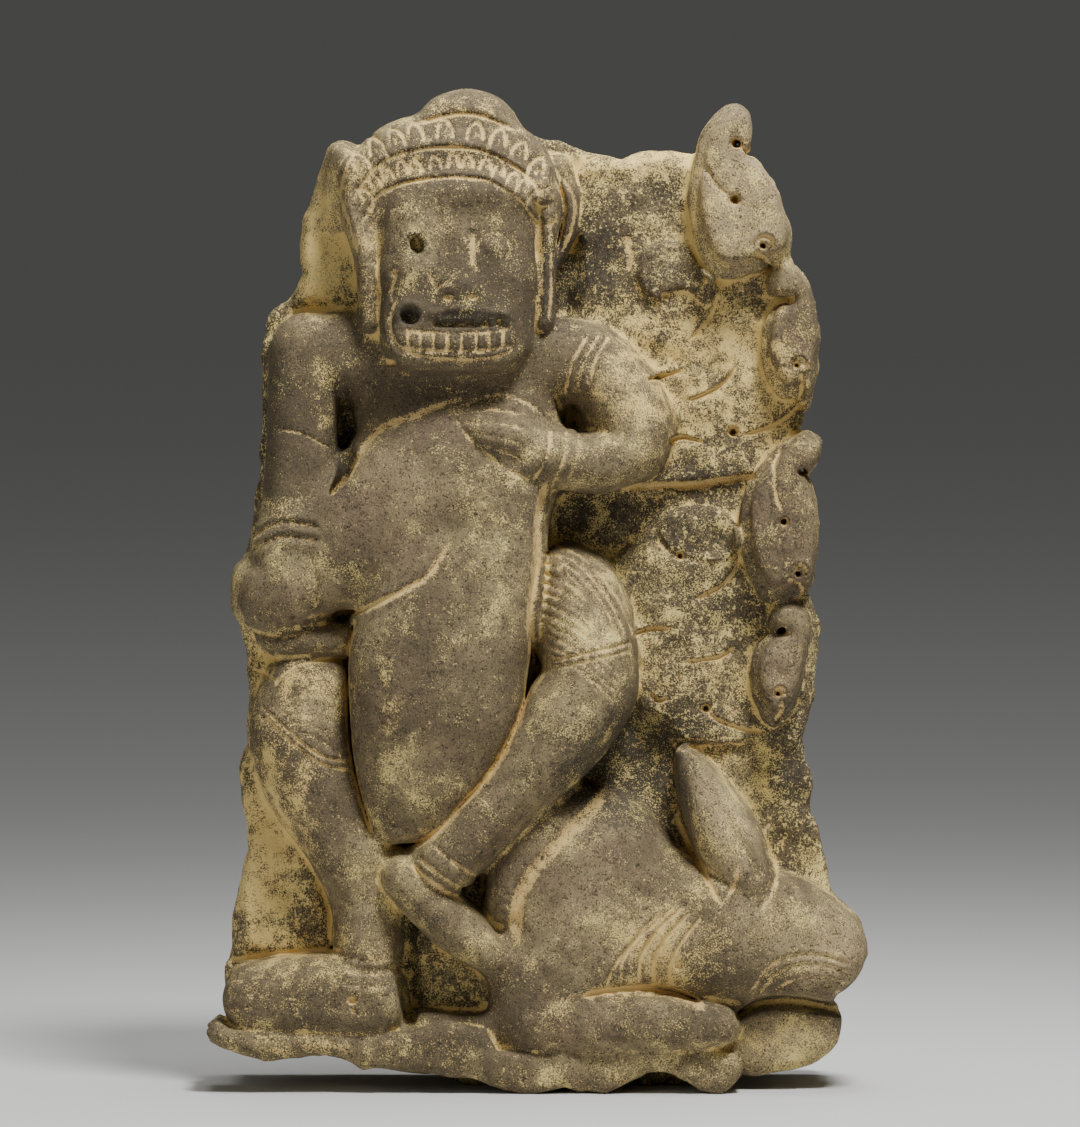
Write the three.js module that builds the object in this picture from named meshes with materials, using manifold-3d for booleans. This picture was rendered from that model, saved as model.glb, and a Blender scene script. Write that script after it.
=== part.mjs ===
// Stone relief panel: one block of dark volcanic stone, carved in high relief on its front.
// A beast-headed guardian with a tall crown stands with one leg crossed over the other, beside a
// kneeling bull, under a border of curled leaves. The block is broken all round, its back is flat.
//
// Millimetres, +Z up, front towards -Y. The origin is the middle of the footprint, on the floor.
// A place on the front is given by x, z and h, the height in front of the relief's ground plane.
import * as THREE from "three";
import { mergeVertices } from "three/addons/utils/BufferGeometryUtils.js";
import Module from "manifold-3d";

const slabDepth = 78; // from the ground plane to the back
const reliefHeight = 92; // from the ground plane to the foremost point, the muzzle
const groundY = (reliefHeight - slabDepth) / 2; // puts the origin midway between front and back
const plinthHeight = 57; // how far the base ledge stands out
const fieldHeight = 7; // the raised fields that carry the low scrolls
const scrollHeight = 6; // the low scrolls on those fields
const leafHeight = 38; // the border leaves
const drillDepth = 14;
const tolerance = 0.05; // edges shorter than this are closed up

const wasm = await Module();
wasm.setup();
const lerp = THREE.MathUtils.lerp;

// ---- solids from three.js geometry -------------------------------------------------------------

// Puts each vertex where place says, and gives the closed geometry back as a solid.
function solid(geometry, place) {
  geometry.deleteAttribute("normal");
  geometry.deleteAttribute("uv");
  const position = geometry.getAttribute("position");
  const from = new THREE.Vector3();
  for (let i = 0; i < position.count; i++) {
    const { x, z, h } = place(from.fromBufferAttribute(position, i));
    position.setXYZ(i, x, groundY - h, z);
  }
  const merged = mergeVertices(geometry, 1e-3);
  const vertProperties = merged.getAttribute("position").array;
  const triVerts = new Uint32Array(merged.index.array);
  const build = () =>
    new wasm.Manifold(
      new wasm.Mesh({ numProp: 3, vertProperties, triVerts, tolerance }),
    );
  const made = build();
  if (made.volume() > 0) return made;
  for (let i = 0; i < triVerts.length; i += 3) {
    [triVerts[i + 1], triVerts[i + 2]] = [triVerts[i + 2], triVerts[i + 1]];
  }
  return build();
}

// How much further out than a circle a superellipse of this power reaches in direction (a, b).
function squared(a, b, power) {
  const length = Math.hypot(a, b);
  if (power === 2 || length < 1e-9) return 1;
  return length / (Math.abs(a) ** power + Math.abs(b) ** power) ** (1 / power);
}

// A rounded form bent along stations [x, z, halfWidth, middle, halfDepth], where middle is the
// height of the section's middle and halfDepth how far it stands in front of and behind that.
function limb(stations, { sides = 8, steps = 4, cap = 2, power = 2 } = {}) {
  const line = new THREE.CatmullRomCurve3(stations.map(([x, z, w]) => new THREE.Vector3(x, z, w)));
  const rise = new THREE.CatmullRomCurve3(
    stations.map(([, , , middle, depth]) => new THREE.Vector3(middle, depth, 0)),
  );
  return solid(new THREE.CapsuleGeometry(1, 1, cap, sides, steps), (v) => {
    const along = THREE.MathUtils.clamp(v.y + 0.5, 0, 1);
    const beyond = v.y + 0.5 - along; // past either end, in half widths
    const at = line.getPoint(along);
    const { x: middle, y: depth } = rise.getPoint(along);
    const heading = line.getTangent(along);
    const run = Math.hypot(heading.x, heading.y);
    const [dx, dz] = [heading.x / run, heading.y / run];
    const square = squared(v.x, v.z, power);
    return {
      x: at.x + at.z * (beyond * dx - v.x * square * dz),
      z: at.y + at.z * (beyond * dz + v.x * square * dx),
      h: middle + depth * v.z * square,
    };
  });
}

// A rounded block: square shapes its outline and profile its section, 2 for an ellipse.
function boulder({ x, z, h, rx, rz, rh, square = 2, profile = 2, turn = 0 }, sides = 12, rings = 6) {
  const angle = THREE.MathUtils.degToRad(turn);
  return solid(new THREE.SphereGeometry(1, sides, rings), (v) => {
    const section = squared(Math.hypot(v.x, v.z), v.y, profile);
    const outline = squared(v.x, v.z, square) * section;
    const across = rx * v.x * outline;
    const up = rz * v.z * outline;
    return {
      x: x + across * Math.cos(angle) - up * Math.sin(angle),
      z: z + across * Math.sin(angle) + up * Math.cos(angle),
      h: h + rh * v.y * section,
    };
  });
}

// A flat plate with this outline of [x, z] points, from height low to high, its front edge worn.
function plate(outline, low, high, wear = 2) {
  const shape = new THREE.Shape(outline.map(([x, z]) => new THREE.Vector2(x, z)));
  const geometry = new THREE.ExtrudeGeometry(shape, {
    depth: high - low - wear,
    bevelEnabled: wear > 0,
    bevelThickness: wear,
    bevelSize: wear,
    bevelOffset: -wear,
    bevelSegments: 1,
  });
  return solid(geometry, (v) => ({ x: v.x, z: v.y, h: low + v.z }));
}

// A raised rim of this radius round (x, z), from one angle to another, its crest at height h.
function arc(x, z, radius, h, { from, to }) {
  const stations = [0, 1, 2, 3, 4].map((i) => {
    const angle = THREE.MathUtils.degToRad(lerp(from, to, i / 4));
    return [x + radius * Math.cos(angle), z + radius * Math.sin(angle), 2.5, h, 12];
  });
  return limb(stations, { sides: 4, cap: 1 });
}

// A drilled hole, from in front of height h down to depth below it.
function drill(x, z, h, radius, depth = drillDepth) {
  const reach = depth + 12;
  return solid(new THREE.CylinderGeometry(radius, radius * 0.8, reach, 6), (v) => ({
    x: x + v.x,
    z: z + v.z,
    h: h - depth + reach / 2 + v.y,
  }));
}

// A carved line along points [x, z, h]: its floor runs depth below h, and it is 2 * halfWidth wide.
function groove(points, halfWidth = 1.6, depth = 3, steps = 5) {
  const stations = points.map(([x, z, h]) => [x, z, halfWidth, h, depth]);
  return limb(stations, { sides: 4, steps, cap: 1 });
}

const joined = (solids) => solids.reduce((whole, next) => whole.add(next));

// ---- the block ---------------------------------------------------------------------------------

// The broken outline of the slab, clockwise from the bottom left. Its foot is flat on the floor.
const slabOutline = [
  [-95, 0], [-117, 7], [-138, 17], [-180, 18], [-200, 26], [-206, 60], [-203, 100], [-204, 122],
  [-193, 155], [-198, 205], [-192, 250], [-195, 300], [-196, 345], [-187, 395], [-185, 450],
  [-183, 500], [-158, 530], [-158, 568], [-139, 612], [-130, 625], [-117, 622], [-98, 638],
  [-15, 640], [2, 628], [56, 616], [105, 618],
  [136, 612], [156, 594], [169, 562], [178, 530], [183, 500], [182, 460], [176, 437], [181, 400],
  [184, 360], [182, 330], [189, 311], [187, 280], [184, 252], [178, 232], [184, 197], [181, 185],
  [190, 168], [195, 138], [190, 110], [188, 70], [203, 48], [200, 28], [178, 12], [133, 6], [112, 0],
];

// The slab narrows a little towards its back, where the breaks are rougher.
function slab() {
  const shape = new THREE.Shape(slabOutline.map(([x, z]) => new THREE.Vector2(x, z)));
  const steps = 2;
  const geometry = new THREE.ExtrudeGeometry(shape, { depth: slabDepth, steps, bevelEnabled: false });
  const rough = [0, 4, -2]; // how far the break steps in at each layer, front to back
  return solid(geometry, (v) => {
    const layer = Math.round((1 - v.z / slabDepth) * steps);
    const inset = rough[layer] * (1 + 0.6 * Math.sin(v.x * 0.11 + v.y * 0.17));
    const reach = Math.hypot(v.x, (v.y - 330) * 0.66) || 1;
    const low = v.y < 1;
    return {
      x: v.x - (inset * v.x) / reach,
      z: low ? v.y : v.y - (inset * (v.y - 330) * 0.66) / reach,
      h: v.z - slabDepth,
    };
  });
}

// The base ledge under the feet, with its ragged lower edge.
const plinthOutline = [
  [-219, 38], [-206, 29], [-180, 21], [-140, 26], [-112, 15], [-45, 11], [-26, 0], [52, 0], [62, 8],
  [76, 15], [92, 13], [108, 0], [130, 0], [137, 10], [134, 28], [95, 31], [60, 34], [28, 28],
  [-28, 27], [-34, 44], [-100, 44], [-205, 45], [-213, 47],
];

// The broken stump under the bull's jaw.
const jawLedge = [[126, 10], [130, 50], [150, 62], [194, 56], [203, 46], [200, 28], [178, 14]];

const upperField = [
  [24, 500], [30, 560], [28, 606], [60, 612], [100, 608], [140, 560], [172, 520], [174, 450],
  [150, 410], [115, 403], [90, 401], [72, 397], [86, 430],
];
const lowerField = [
  [50, 348], [62, 357], [78, 357], [95, 351], [150, 350], [178, 326], [178, 240], [112, 228],
  [92, 232], [68, 256], [67, 300],
];
const leftField = [
  [-196, 92], [-196, 205], [-184, 216], [-160, 176], [-138, 120], [-136, 92],
];

function block() {
  return joined([
    slab(),
    plate(plinthOutline, -6, plinthHeight, 5),
    plate(upperField, -4, fieldHeight, 3),
    plate(lowerField, -4, fieldHeight - 1, 3),
    plate(leftField, -4, fieldHeight + 4, 4),
    plate([[-92, 18], [-92, 46], [-72, 52], [-32, 50], [-26, 20]], -4, 44, 4), // step in the recess
    plate(jawLedge, -6, 34, 8),
  ]);
}

// ---- the head ----------------------------------------------------------------------------------

const head = { x: -51, z: 540, halfWidth: 52, halfHeight: 66, front: 80 };
const muzzle = { x: -54, z: 502, halfWidth: 48, halfHeight: 29, front: reliefHeight };
const teeth = { count: 8, from: -86, to: -17, z: 494, size: 4 };

function headForms() {
  const forms = [
    boulder({ x: -56, z: 592, h: 22, rx: 69, rz: 54, rh: 42, square: 2.6, profile: 2.6 }, 14, 6), // cap
    boulder({ x: -43, z: 636, h: 18, rx: 36, rz: 24.5, rh: 32, square: 2.4 }, 12, 6), // knob
    boulder(
      {
        x: head.x, z: head.z, h: 34, rx: head.halfWidth, rz: head.halfHeight,
        rh: head.front - 34, square: 4, profile: 3,
      },
      16, 6,
    ),
    boulder(
      {
        x: muzzle.x, z: muzzle.z, h: 42, rx: muzzle.halfWidth, rz: muzzle.halfHeight,
        rh: muzzle.front - 42, square: 3.4, profile: 3,
      },
      14, 6,
    ),
    limb([[-49, 560, 8, 66, 12], [-48, 544, 12, 70, 13], [-48, 533, 15, 74, 12]], { steps: 2 }), // nose
    boulder({ x: -28, z: 555, h: 76, rx: 8, rz: 8, rh: 7 }, 8, 4), // the whole eye
    ...[-79, -28].map((x) => arc(x, 556, 13, 71, { from: -10, to: 190 })), // rims over the eyes
  ];
  // the locks and ribbons that hang on both sides of the face
  forms.push(
    limb([[-112, 600, 9, 30, 22], [-113, 560, 9, 30, 22], [-111, 510, 7, 28, 22]], { steps: 2 }),
    limb([[-124, 604, 8, 18, 25], [-121, 570, 6, 17, 24], [-117, 516, 5, 16, 23]], { steps: 2 }),
    limb([[-130, 612, 11, 6, 24], [-136, 588, 10, 6, 24], [-128, 556, 7, 6, 19]], { steps: 2 }),
    limb([[6, 596, 8, 30, 22], [7, 560, 7, 28, 22], [7, 514, 6, 28, 20]], { steps: 2 }),
    limb([[16, 608, 9, 18, 22], [20, 582, 8, 18, 22], [14, 548, 4, 14, 18]], { steps: 2 }),
  );
  // the crown: two bands, a row of leaves between them and tall leaves above
  const bands = [
    { rise: 0, width: 4.5, h: 66 },
    { rise: 19, width: 3.5, h: 58 },
  ];
  for (const { rise, width, h } of bands) {
    forms.push(
      limb(
        [
          [-114, 580 + rise, width, h - 14, 12], [-98, 596 + rise, width, h - 4, 12],
          [-55, 606 + rise, width, h, 12], [-14, 596 + rise, width, h - 4, 12],
          [6, 578 + rise, width, h - 14, 12],
        ],
        { sides: 4, steps: 6, cap: 1 },
      ),
    );
  }
  const leaves = 5;
  for (let i = 0; i < leaves; i++) {
    const share = i / (leaves - 1) - 0.5;
    const [x, foot] = [-54 + share * 96, 622 - 50 * share * share];
    const [tipX, tipZ] = [x + share * 8, foot + 18 - 20 * share * share];
    forms.push(
      limb([[x, foot, 9, 44, 20], [(x + tipX) / 2, foot + 7, 8, 42, 20], [tipX, tipZ, 3, 34, 14]], {
        sides: 4, steps: 2, cap: 1,
      }),
    );
  }
  return forms;
}

function headCuts() {
  const cuts = [
    drill(-79, 558, 78, 5.5, 10), // the hollow eye
    drill(-83, 511, 88, 6.5, 12), // the corner of the mouth
    groove([[-68, 506, 91], [-42, 504, 93], [-16, 507, 90]], 4, 9, 3), // the open mouth
    groove([[-92, 528, 84], [-98, 508, 84], [-88, 488, 86], [-55, 480, 88], [-22, 482, 86]], 1.6, 5, 5),
  ];
  for (let i = 0; i <= teeth.count; i++) {
    const x = lerp(teeth.from, teeth.to, i / teeth.count);
    cuts.push(
      groove([[x, teeth.z + teeth.size, 90], [x, teeth.z - teeth.size, 90]], 1.2, 4, 1),
    );
  }
  return cuts;
}

// ---- the body ----------------------------------------------------------------------------------

const chest = [
  [-52, 470, 66, 10, 44], [-50, 440, 66, 12, 54], [-42, 410, 52, 14, 60],
];
const breast = { x: -84, z: 400, h: 20, rx: 46, rz: 42, rh: 50, square: 2.4, turn: 30 };
const shoulders = [
  [-150, 486, 27, 12, 32], [-100, 484, 30, 16, 34], [-50, 484, 30, 16, 36], [0, 482, 28, 16, 36],
  [34, 480, 26, 14, 34],
];
const belly = [
  [-20, 410, 32, 22, 48], [-30, 366, 37, 24, 50], [-52, 326, 56, 22, 56], [-64, 292, 62, 20, 62],
  [-67, 255, 58, 20, 60], [-73, 224, 48, 20, 52], [-83, 194, 31, 20, 43], [-92, 176, 14, 18, 36],
];
const nearArm = [
  [-151, 484, 27, 14, 33], [-155, 450, 23, 14, 33], [-157, 415, 22, 16, 32], [-161, 380, 22, 18, 33],
  [-166, 350, 24, 18, 36],
];
const nearForearm = [
  [-152, 340, 32, 22, 38], [-116, 366, 42, 24, 46], [-84, 392, 44, 26, 50], [-62, 410, 36, 28, 50],
];
const farArm = [
  [26, 484, 25, 10, 38], [44, 472, 27, 12, 42], [58, 454, 28, 14, 43], [66, 436, 23, 16, 42],
];
const farForearm = [
  [66, 424, 22, 18, 40], [48, 417, 22, 22, 40], [28, 415, 20, 28, 40], [6, 420, 20, 36, 40],
];

function bodyForms() {
  const forms = [
    limb(shoulders, { steps: 4 }),
    limb(chest, { sides: 10, steps: 2, cap: 1, power: 2.6 }),
    boulder(breast),
    limb(belly, { sides: 14, steps: 6, power: 2.4 }),
    limb(nearArm, { sides: 8, steps: 3, cap: 1 }),
    boulder({ x: -170, z: 329, h: 12, rx: 34, rz: 29, rh: 44, square: 2.4 }), // elbow
    limb(nearForearm, { sides: 10, steps: 4 }),
    limb(farArm, { sides: 8, steps: 3, cap: 1 }),
    limb(farForearm, { sides: 8, steps: 3, cap: 1 }),
    boulder({ x: -22, z: 431, h: 40, rx: 34, rz: 27, rh: 43, turn: -12 }, 12, 6), // hand
  ];
  for (const z of [366, 378]) {
    forms.push(
      limb([[-184, z - 6, 3, 26, 16], [-165, z + 2, 3, 44, 12], [-144, z - 1, 3, 34, 14]], {
        sides: 4, steps: 3, cap: 1,
      }), // armlet
    );
  }
  for (const x of [12, 22]) {
    forms.push(
      limb([[x - 2, 438, 3, 56, 14], [x + 2, 421, 3, 66, 14], [x - 5, 403, 3, 54, 14]], {
        sides: 4, steps: 3, cap: 1,
      }), // bracelet
    );
  }
  return forms;
}

function bodyCuts() {
  const cuts = [];
  for (let i = 0; i < 4; i++) {
    const x = 26 + i * 9;
    const [top, bottom] = [504 - i * 5, 462 + i * 3];
    const fold = [[x, top, 47], [x - 8 + i * 3, (top + bottom) / 2, 50], [x - 8, bottom, 51]];
    cuts.push(groove(fold, 1.5, 4, 2));
  } // folds of the sleeve
  for (let i = 0; i < 4; i++) {
    const z = 442 - i * 8;
    cuts.push(groove([[-50, z - 4, 77], [-34, z + 1, 84], [-14, z + 1, 85]], 1.2, 3, 2)); // fingers
  }
  return cuts;
}

// ---- the legs ----------------------------------------------------------------------------------

const standingLeg = [
  [-152, 262, 31, 12, 36], [-157, 238, 35, 12, 40], [-150, 208, 34, 12, 40], [-134, 176, 29, 12, 38],
  [-121, 148, 26, 12, 37], [-113, 122, 24, 12, 36], [-112, 92, 24, 16, 40],
];
const standingFoot = [
  [-186, 63, 20, 22, 36], [-160, 65, 22, 22, 38], [-132, 66, 24, 22, 40], [-108, 64, 23, 22, 40],
];
const thigh = [
  [20, 342, 20, 6, 46], [28, 324, 31, 8, 54], [33, 298, 34, 12, 58],
];
const shin = [
  [36, 284, 31, 24, 52], [34, 266, 33, 26, 54], [17, 240, 33, 26, 54], [-7, 210, 28, 26, 50],
  [-26, 188, 26, 26, 48], [-44, 170, 25, 26, 46], [-64, 150, 23, 26, 44],
];
const crossedFoot = [
  [-88, 142, 17, 28, 38], [-73, 127, 18, 28, 38], [-56, 111, 18, 28, 37], [-40, 98, 16, 28, 36],
  [-29, 89, 13.5, 28, 34],
];

// Rings round a limb where it is cut across at each of these shares of its length.
function rings(stations, shares, { width = 3, proud = 3, lean = 0 }) {
  const line = new THREE.CatmullRomCurve3(stations.map(([x, z, w]) => new THREE.Vector3(x, z, w)));
  const rise = new THREE.CatmullRomCurve3(stations.map(([, , , m, d]) => new THREE.Vector3(m, d, 0)));
  return shares.map((share) => {
    const at = line.getPoint(share);
    const { x: middle, y: depth } = rise.getPoint(share);
    const heading = line.getTangent(share);
    const run = Math.hypot(heading.x, heading.y);
    const [ax, az] = [-heading.y / run, heading.x / run];
    const around = [-0.95, -0.6, 0, 0.6, 0.95].map((side) => {
      const front = Math.sqrt(1 - side * side);
      return [
        at.x + at.z * side * ax + lean * front * az,
        at.y + at.z * side * az - lean * front * ax,
        width, middle + (depth + proud) * front - 6, 6,
      ];
    });
    return limb(around, { sides: 4, steps: 4, cap: 1 });
  });
}

function legForms() {
  return [
    limb(standingLeg, { sides: 10, steps: 5 }),
    limb(standingFoot, { sides: 12, steps: 2, power: 3 }),
    limb(thigh, { sides: 12, steps: 2 }),
    limb(shin, { sides: 10, steps: 5 }),
    limb(crossedFoot, { sides: 8, steps: 3 }),
    ...rings(standingLeg, [0.94, 1], { width: 3.5, proud: 3, lean: 4 }),
    ...rings(shin, [0.88, 0.97], { width: 3.5, proud: 3, lean: -3 }),
  ];
}

function legCuts() {
  const cuts = [];
  for (let i = 0; i < 6; i++) {
    const reach = i / 5;
    cuts.push(
      groove(
        [
          [4, 352 - 44 * reach, 40 + 12 * reach], [22, 346 - 44 * reach, 57 + 6 * reach],
          [lerp(40, 54, reach), 334 - 42 * reach, 54 + 6 * reach],
        ],
        1.6, 4, 2,
      ),
    ); // folds across the raised thigh
  }
  for (let i = 0; i < 5; i++) {
    const reach = i / 4;
    const start = [-170 + 4 * reach, 262 - 34 * reach, 42];
    const fold = [start, [-150, 274 - 32 * reach, 47], [-130, 276 - 36 * reach, 45]];
    cuts.push(groove(fold, 1.5, 4, 2)); // folds of the kilt over the standing leg
  }
  cuts.push(groove([[-176, 246, 44], [-160, 228, 51], [-142, 216, 50], [-124, 210, 42]], 2, 4, 4));
  return cuts;
}

// ---- the bull ----------------------------------------------------------------------------------

const bullHead = [
  [112, 102, 44, 10, 48], [140, 104, 43, 10, 48], [165, 102, 40, 10, 46], [188.4, 93, 33, 8, 44],
];
const bullEar = [
  [97, 220, 7, 10, 28], [104, 202, 13, 12, 36], [114, 180, 18, 14, 40], [126, 158, 20, 14, 44],
  [137, 138, 19, 14, 44],
];
const bullForeleg = [
  [40, 47, 20, 20, 46], [76, 47, 19, 22, 48], [104, 45, 17, 22, 48], [118, 45, 15, 22, 46],
];
const bullNeck = [[54, 124, 52, 4, 50], [80, 110, 51, 6, 48], [108, 100, 45, 8, 46]];
const bullRump = [
  [10, 176, 20, 6, 48], [-10, 150, 22, 8, 48], [-18, 124, 18, 8, 46],
];

function bullForms() {
  return [
    boulder({ x: 32, z: 114, h: 8, rx: 62, rz: 85, rh: 55, square: 2.5, profile: 2.4 }, 14, 6),
    boulder({ x: 12, z: 66, h: 12, rx: 43, rz: 42, rh: 50, square: 4, profile: 3.4 }, 12, 6),
    limb(bullNeck, { sides: 10, steps: 1, cap: 1, power: 2.4 }),
    limb(bullRump, { steps: 3, cap: 1 }),
    limb(bullHead, { sides: 10, steps: 4 }),
    limb(bullEar, { sides: 8, steps: 5 }),
    limb(bullForeleg, { sides: 8, steps: 3, power: 3 }),
  ];
}

function bullCuts() {
  const cuts = [
    groove([[104, 204, 49], [116, 178, 55], [134, 148, 59]], 4, 6, 3), // the ear's hollow
    groove([[24, 182, 47], [6, 160, 56], [-8, 132, 54], [-13, 102, 48]], 2, 5, 4), // the haunch
    groove([[146, 84, 56], [166, 91, 58], [188, 84, 54]], 1.6, 4, 3), // the nostril's rim
    groove([[140, 72, 50], [164, 78, 56], [192, 70, 50]], 1.6, 4, 3), // the lip
    limb([[136, 54, 5, 52, 26], [160, 58, 7, 52, 30], [198, 50, 6, 52, 30]], { sides: 6 }), // under the jaw
    drill(196, 68, 46, 3, 6),
  ];
  const folds = 5;
  for (let i = 0; i < folds; i++) {
    const share = i / (folds - 1);
    cuts.push(
      groove(
        [
          [lerp(66, 108, share), 124 - 8 * share, 46], [lerp(50, 92, share), 102, 52],
          [lerp(42, 88, share), 74, 50],
        ],
        2.2, 6, 3,
      ),
    );
  }
  return cuts;
}

// ---- the leaf border and the low scrolls ---------------------------------------------------------

const low = -6; // the leaves run this far into the block
const leafSection = (front) => [(front + low) / 2, (front - low) / 2];

// Each border leaf: stations [x, z, halfWidth], its height, and its holes [x, z, radius].
const borderLeaves = [
  {
    stations: [[130, 642, 9], [128, 622, 19], [131, 602, 26], [135, 582, 31], [138, 568, 29]],
    front: leafHeight + 2,
    holes: [[136, 624, 4], [131, 587, 3.5], [150, 559, 4]],
  },
  { stations: [[163, 538, 11], [165, 538, 11]], front: leafHeight - 6, holes: [] },
  {
    stations: [[168, 512, 13], [166, 498, 18], [167, 484, 17], [174, 468, 9]],
    front: leafHeight - 3,
    holes: [[161, 522, 4], [173, 479, 3.5]],
  },
  {
    stations: [[178, 424, 9], [168, 410, 17], [162, 391, 23], [161, 370, 25], [162, 354, 23]],
    front: leafHeight,
    holes: [[180, 411, 3], [165, 377, 3], [174, 342, 3.5]],
  },
  { stations: [[168, 314, 11], [170, 314, 11]], front: leafHeight - 6, holes: [] },
  {
    stations: [[166, 290, 14], [161, 276, 19], [160, 264, 17]],
    front: leafHeight - 2,
    holes: [[158, 306, 4], [161, 264, 3]],
  },
];

// Low scrolls: stations [x, z, halfWidth] of each comma, and the lines that are cut round them.
const scrolls = [
  [[84, 529, 6], [84, 543, 14], [98, 546, 13], [108, 534, 12], [108, 516, 9]],
  [[98, 360, 8], [102, 368, 14], [116, 368, 15], [124, 354, 13], [116, 338, 9]],
];
const scrollLines = [
  [[117, 512], [112, 501], [100, 493]],
  [[133, 480], [122, 466], [102, 456]],
  [[72, 469], [85, 472], [97, 475]],
  [[88, 429], [100, 430], [112, 427]],
  [[132, 434], [152, 440], [172, 452]],
  [[136, 352], [124, 333], [98, 320]],
  [[66, 301], [77, 304], [89, 304]],
  [[134, 293], [122, 287], [100, 284]],
  [[113, 250], [130, 240], [155, 237]],
];

function leafForms() {
  const leaves = borderLeaves.map(({ stations, front }) =>
    limb(
      stations.map(([x, z, w]) => [x, z, w, ...leafSection(front)]),
      { sides: 8, steps: Math.max(1, stations.length), cap: 2, power: 4 },
    ),
  );
  const commas = scrolls.map((stations) =>
    limb(
      stations.map(([x, z, w]) => [x, z, w, fieldHeight - 2, scrollHeight + 2]),
      { sides: 6, steps: 5, cap: 2, power: 2 },
    ),
  );
  return [...leaves, ...commas];
}

function leafCuts() {
  const holes = borderLeaves.flatMap(({ holes, front }) =>
    holes.map(([x, z, radius]) => drill(x, z, front, radius)),
  );
  const lines = scrollLines.map((points) =>
    groove(points.map(([x, z]) => [x, z, fieldHeight + 1]), 1.8, 6, 2),
  );
  return [
    ...holes,
    ...lines,
    drill(132, 436, fieldHeight, 3),
    drill(112, 252, fieldHeight, 3),
    groove([[64, 396, 4], [90, 400, 4], [116, 401, 4], [141, 407, 4]], 2.5, 7, 3),
  ];
}

// ---- the panel -----------------------------------------------------------------------------------

const forms = [...headForms(), ...bodyForms(), ...legForms(), ...bullForms(), ...leafForms()];
const cuts = [...headCuts(), ...bodyCuts(), ...legCuts(), ...bullCuts(), ...leafCuts()];
const carved = joined([block(), ...forms]).subtract(joined(cuts));
const shells = carved.decompose().sort((a, b) => b.volume() - a.volume());
const whole = shells[0]; // the outer skin alone, so that the stone is solid all through

function geometryOf(made) {
  const { numProp, numVert, vertProperties, triVerts } = made.getMesh();
  const position = new Float32Array(numVert * 3);
  for (let i = 0; i < numVert; i++) {
    position.set(vertProperties.subarray(i * numProp, i * numProp + 3), i * 3);
  }
  return new THREE.BufferGeometry()
    .setAttribute("position", new THREE.BufferAttribute(position, 3))
    .setIndex(new THREE.BufferAttribute(triVerts, 1));
}

const stone = new THREE.MeshStandardMaterial({ color: 0x6f6350, roughness: 0.92, metalness: 0 });
const geometry = geometryOf(whole).center();
geometry.translate(0, 0, -geometry.boundingBox.min.z); // the foot rests on the floor
const panel = new THREE.Mesh(geometry, stone);
panel.name = "relief_panel";

const object = new THREE.Group();
object.add(panel);
export default object;
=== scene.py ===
import math
import bpy
import numpy as np
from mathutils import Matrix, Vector


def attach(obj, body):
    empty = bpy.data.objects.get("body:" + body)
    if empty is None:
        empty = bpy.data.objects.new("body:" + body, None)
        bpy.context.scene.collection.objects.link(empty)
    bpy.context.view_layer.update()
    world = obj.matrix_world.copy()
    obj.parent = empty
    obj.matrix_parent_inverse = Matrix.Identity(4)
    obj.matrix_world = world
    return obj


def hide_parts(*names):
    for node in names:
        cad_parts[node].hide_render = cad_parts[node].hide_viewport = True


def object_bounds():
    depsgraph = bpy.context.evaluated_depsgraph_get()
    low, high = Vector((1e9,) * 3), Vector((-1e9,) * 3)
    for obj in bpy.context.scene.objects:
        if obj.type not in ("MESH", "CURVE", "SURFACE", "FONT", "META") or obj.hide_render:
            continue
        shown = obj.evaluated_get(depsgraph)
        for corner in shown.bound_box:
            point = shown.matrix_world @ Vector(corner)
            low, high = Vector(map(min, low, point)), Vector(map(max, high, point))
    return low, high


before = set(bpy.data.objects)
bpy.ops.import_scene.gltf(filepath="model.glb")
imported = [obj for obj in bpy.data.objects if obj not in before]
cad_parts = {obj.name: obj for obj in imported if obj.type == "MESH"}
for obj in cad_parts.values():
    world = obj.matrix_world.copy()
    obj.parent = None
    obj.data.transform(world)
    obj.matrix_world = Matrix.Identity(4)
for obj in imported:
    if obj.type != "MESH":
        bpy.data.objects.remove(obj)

cadLow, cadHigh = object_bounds()  # the solid's box, which the carved stone keeps to

# Places on the front are x, z and h in millimetres: x to the right, z up from the floor,
# h towards the viewer from the relief's ground plane. The block is carved as a field of
# distances to the stone's skin, negative inside, and the skin is meshed at the end.

stoneBlock = {
    "step": 1.4,  # spacing of the carving grid
    "triangles": 197000,
    "groundY": 7.0,  # the ground plane's place in the frame, mm
    "slabDepth": 78.0,
    "keepDetail": 0.0004,  # how much the fine lines are spared when the mesh is made lighter
    "edgeWear": 7.0,  # how round the broken front edge is
    "groundLumps": ((34, 1.3), (13, 0.7)),  # their size and height, mm
    "breakLumps": ((26, 2.2), (11, 1.2)), "breakDepth": 3.5,
    "seed": 5,
}

gridX = np.arange(-227, 227, stoneBlock["step"], dtype=np.float32)
gridZ = np.arange(-6, 668, stoneBlock["step"], dtype=np.float32)
gridH = np.arange(-84, 99, stoneBlock["step"], dtype=np.float32)
field = np.full((len(gridX), len(gridZ), len(gridH)), 60.0, dtype=np.float32)
cutMap = np.zeros((len(gridX), len(gridZ)), dtype=np.float32)  # engraved depth
ridgeMap = np.zeros_like(cutMap)  # raised height


# Carving tools

def smoothStep(value):
    value = np.clip(value, 0, 1)
    return value * value * (3 - 2 * value)


# 0 up to low, 1 from high, smooth between.
def between(value, low, high):
    return smoothStep((value - low) / (high - low))


def span(axis, low, high):
    return slice(int(np.searchsorted(axis, low)), int(np.searchsorted(axis, high)))


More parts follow.
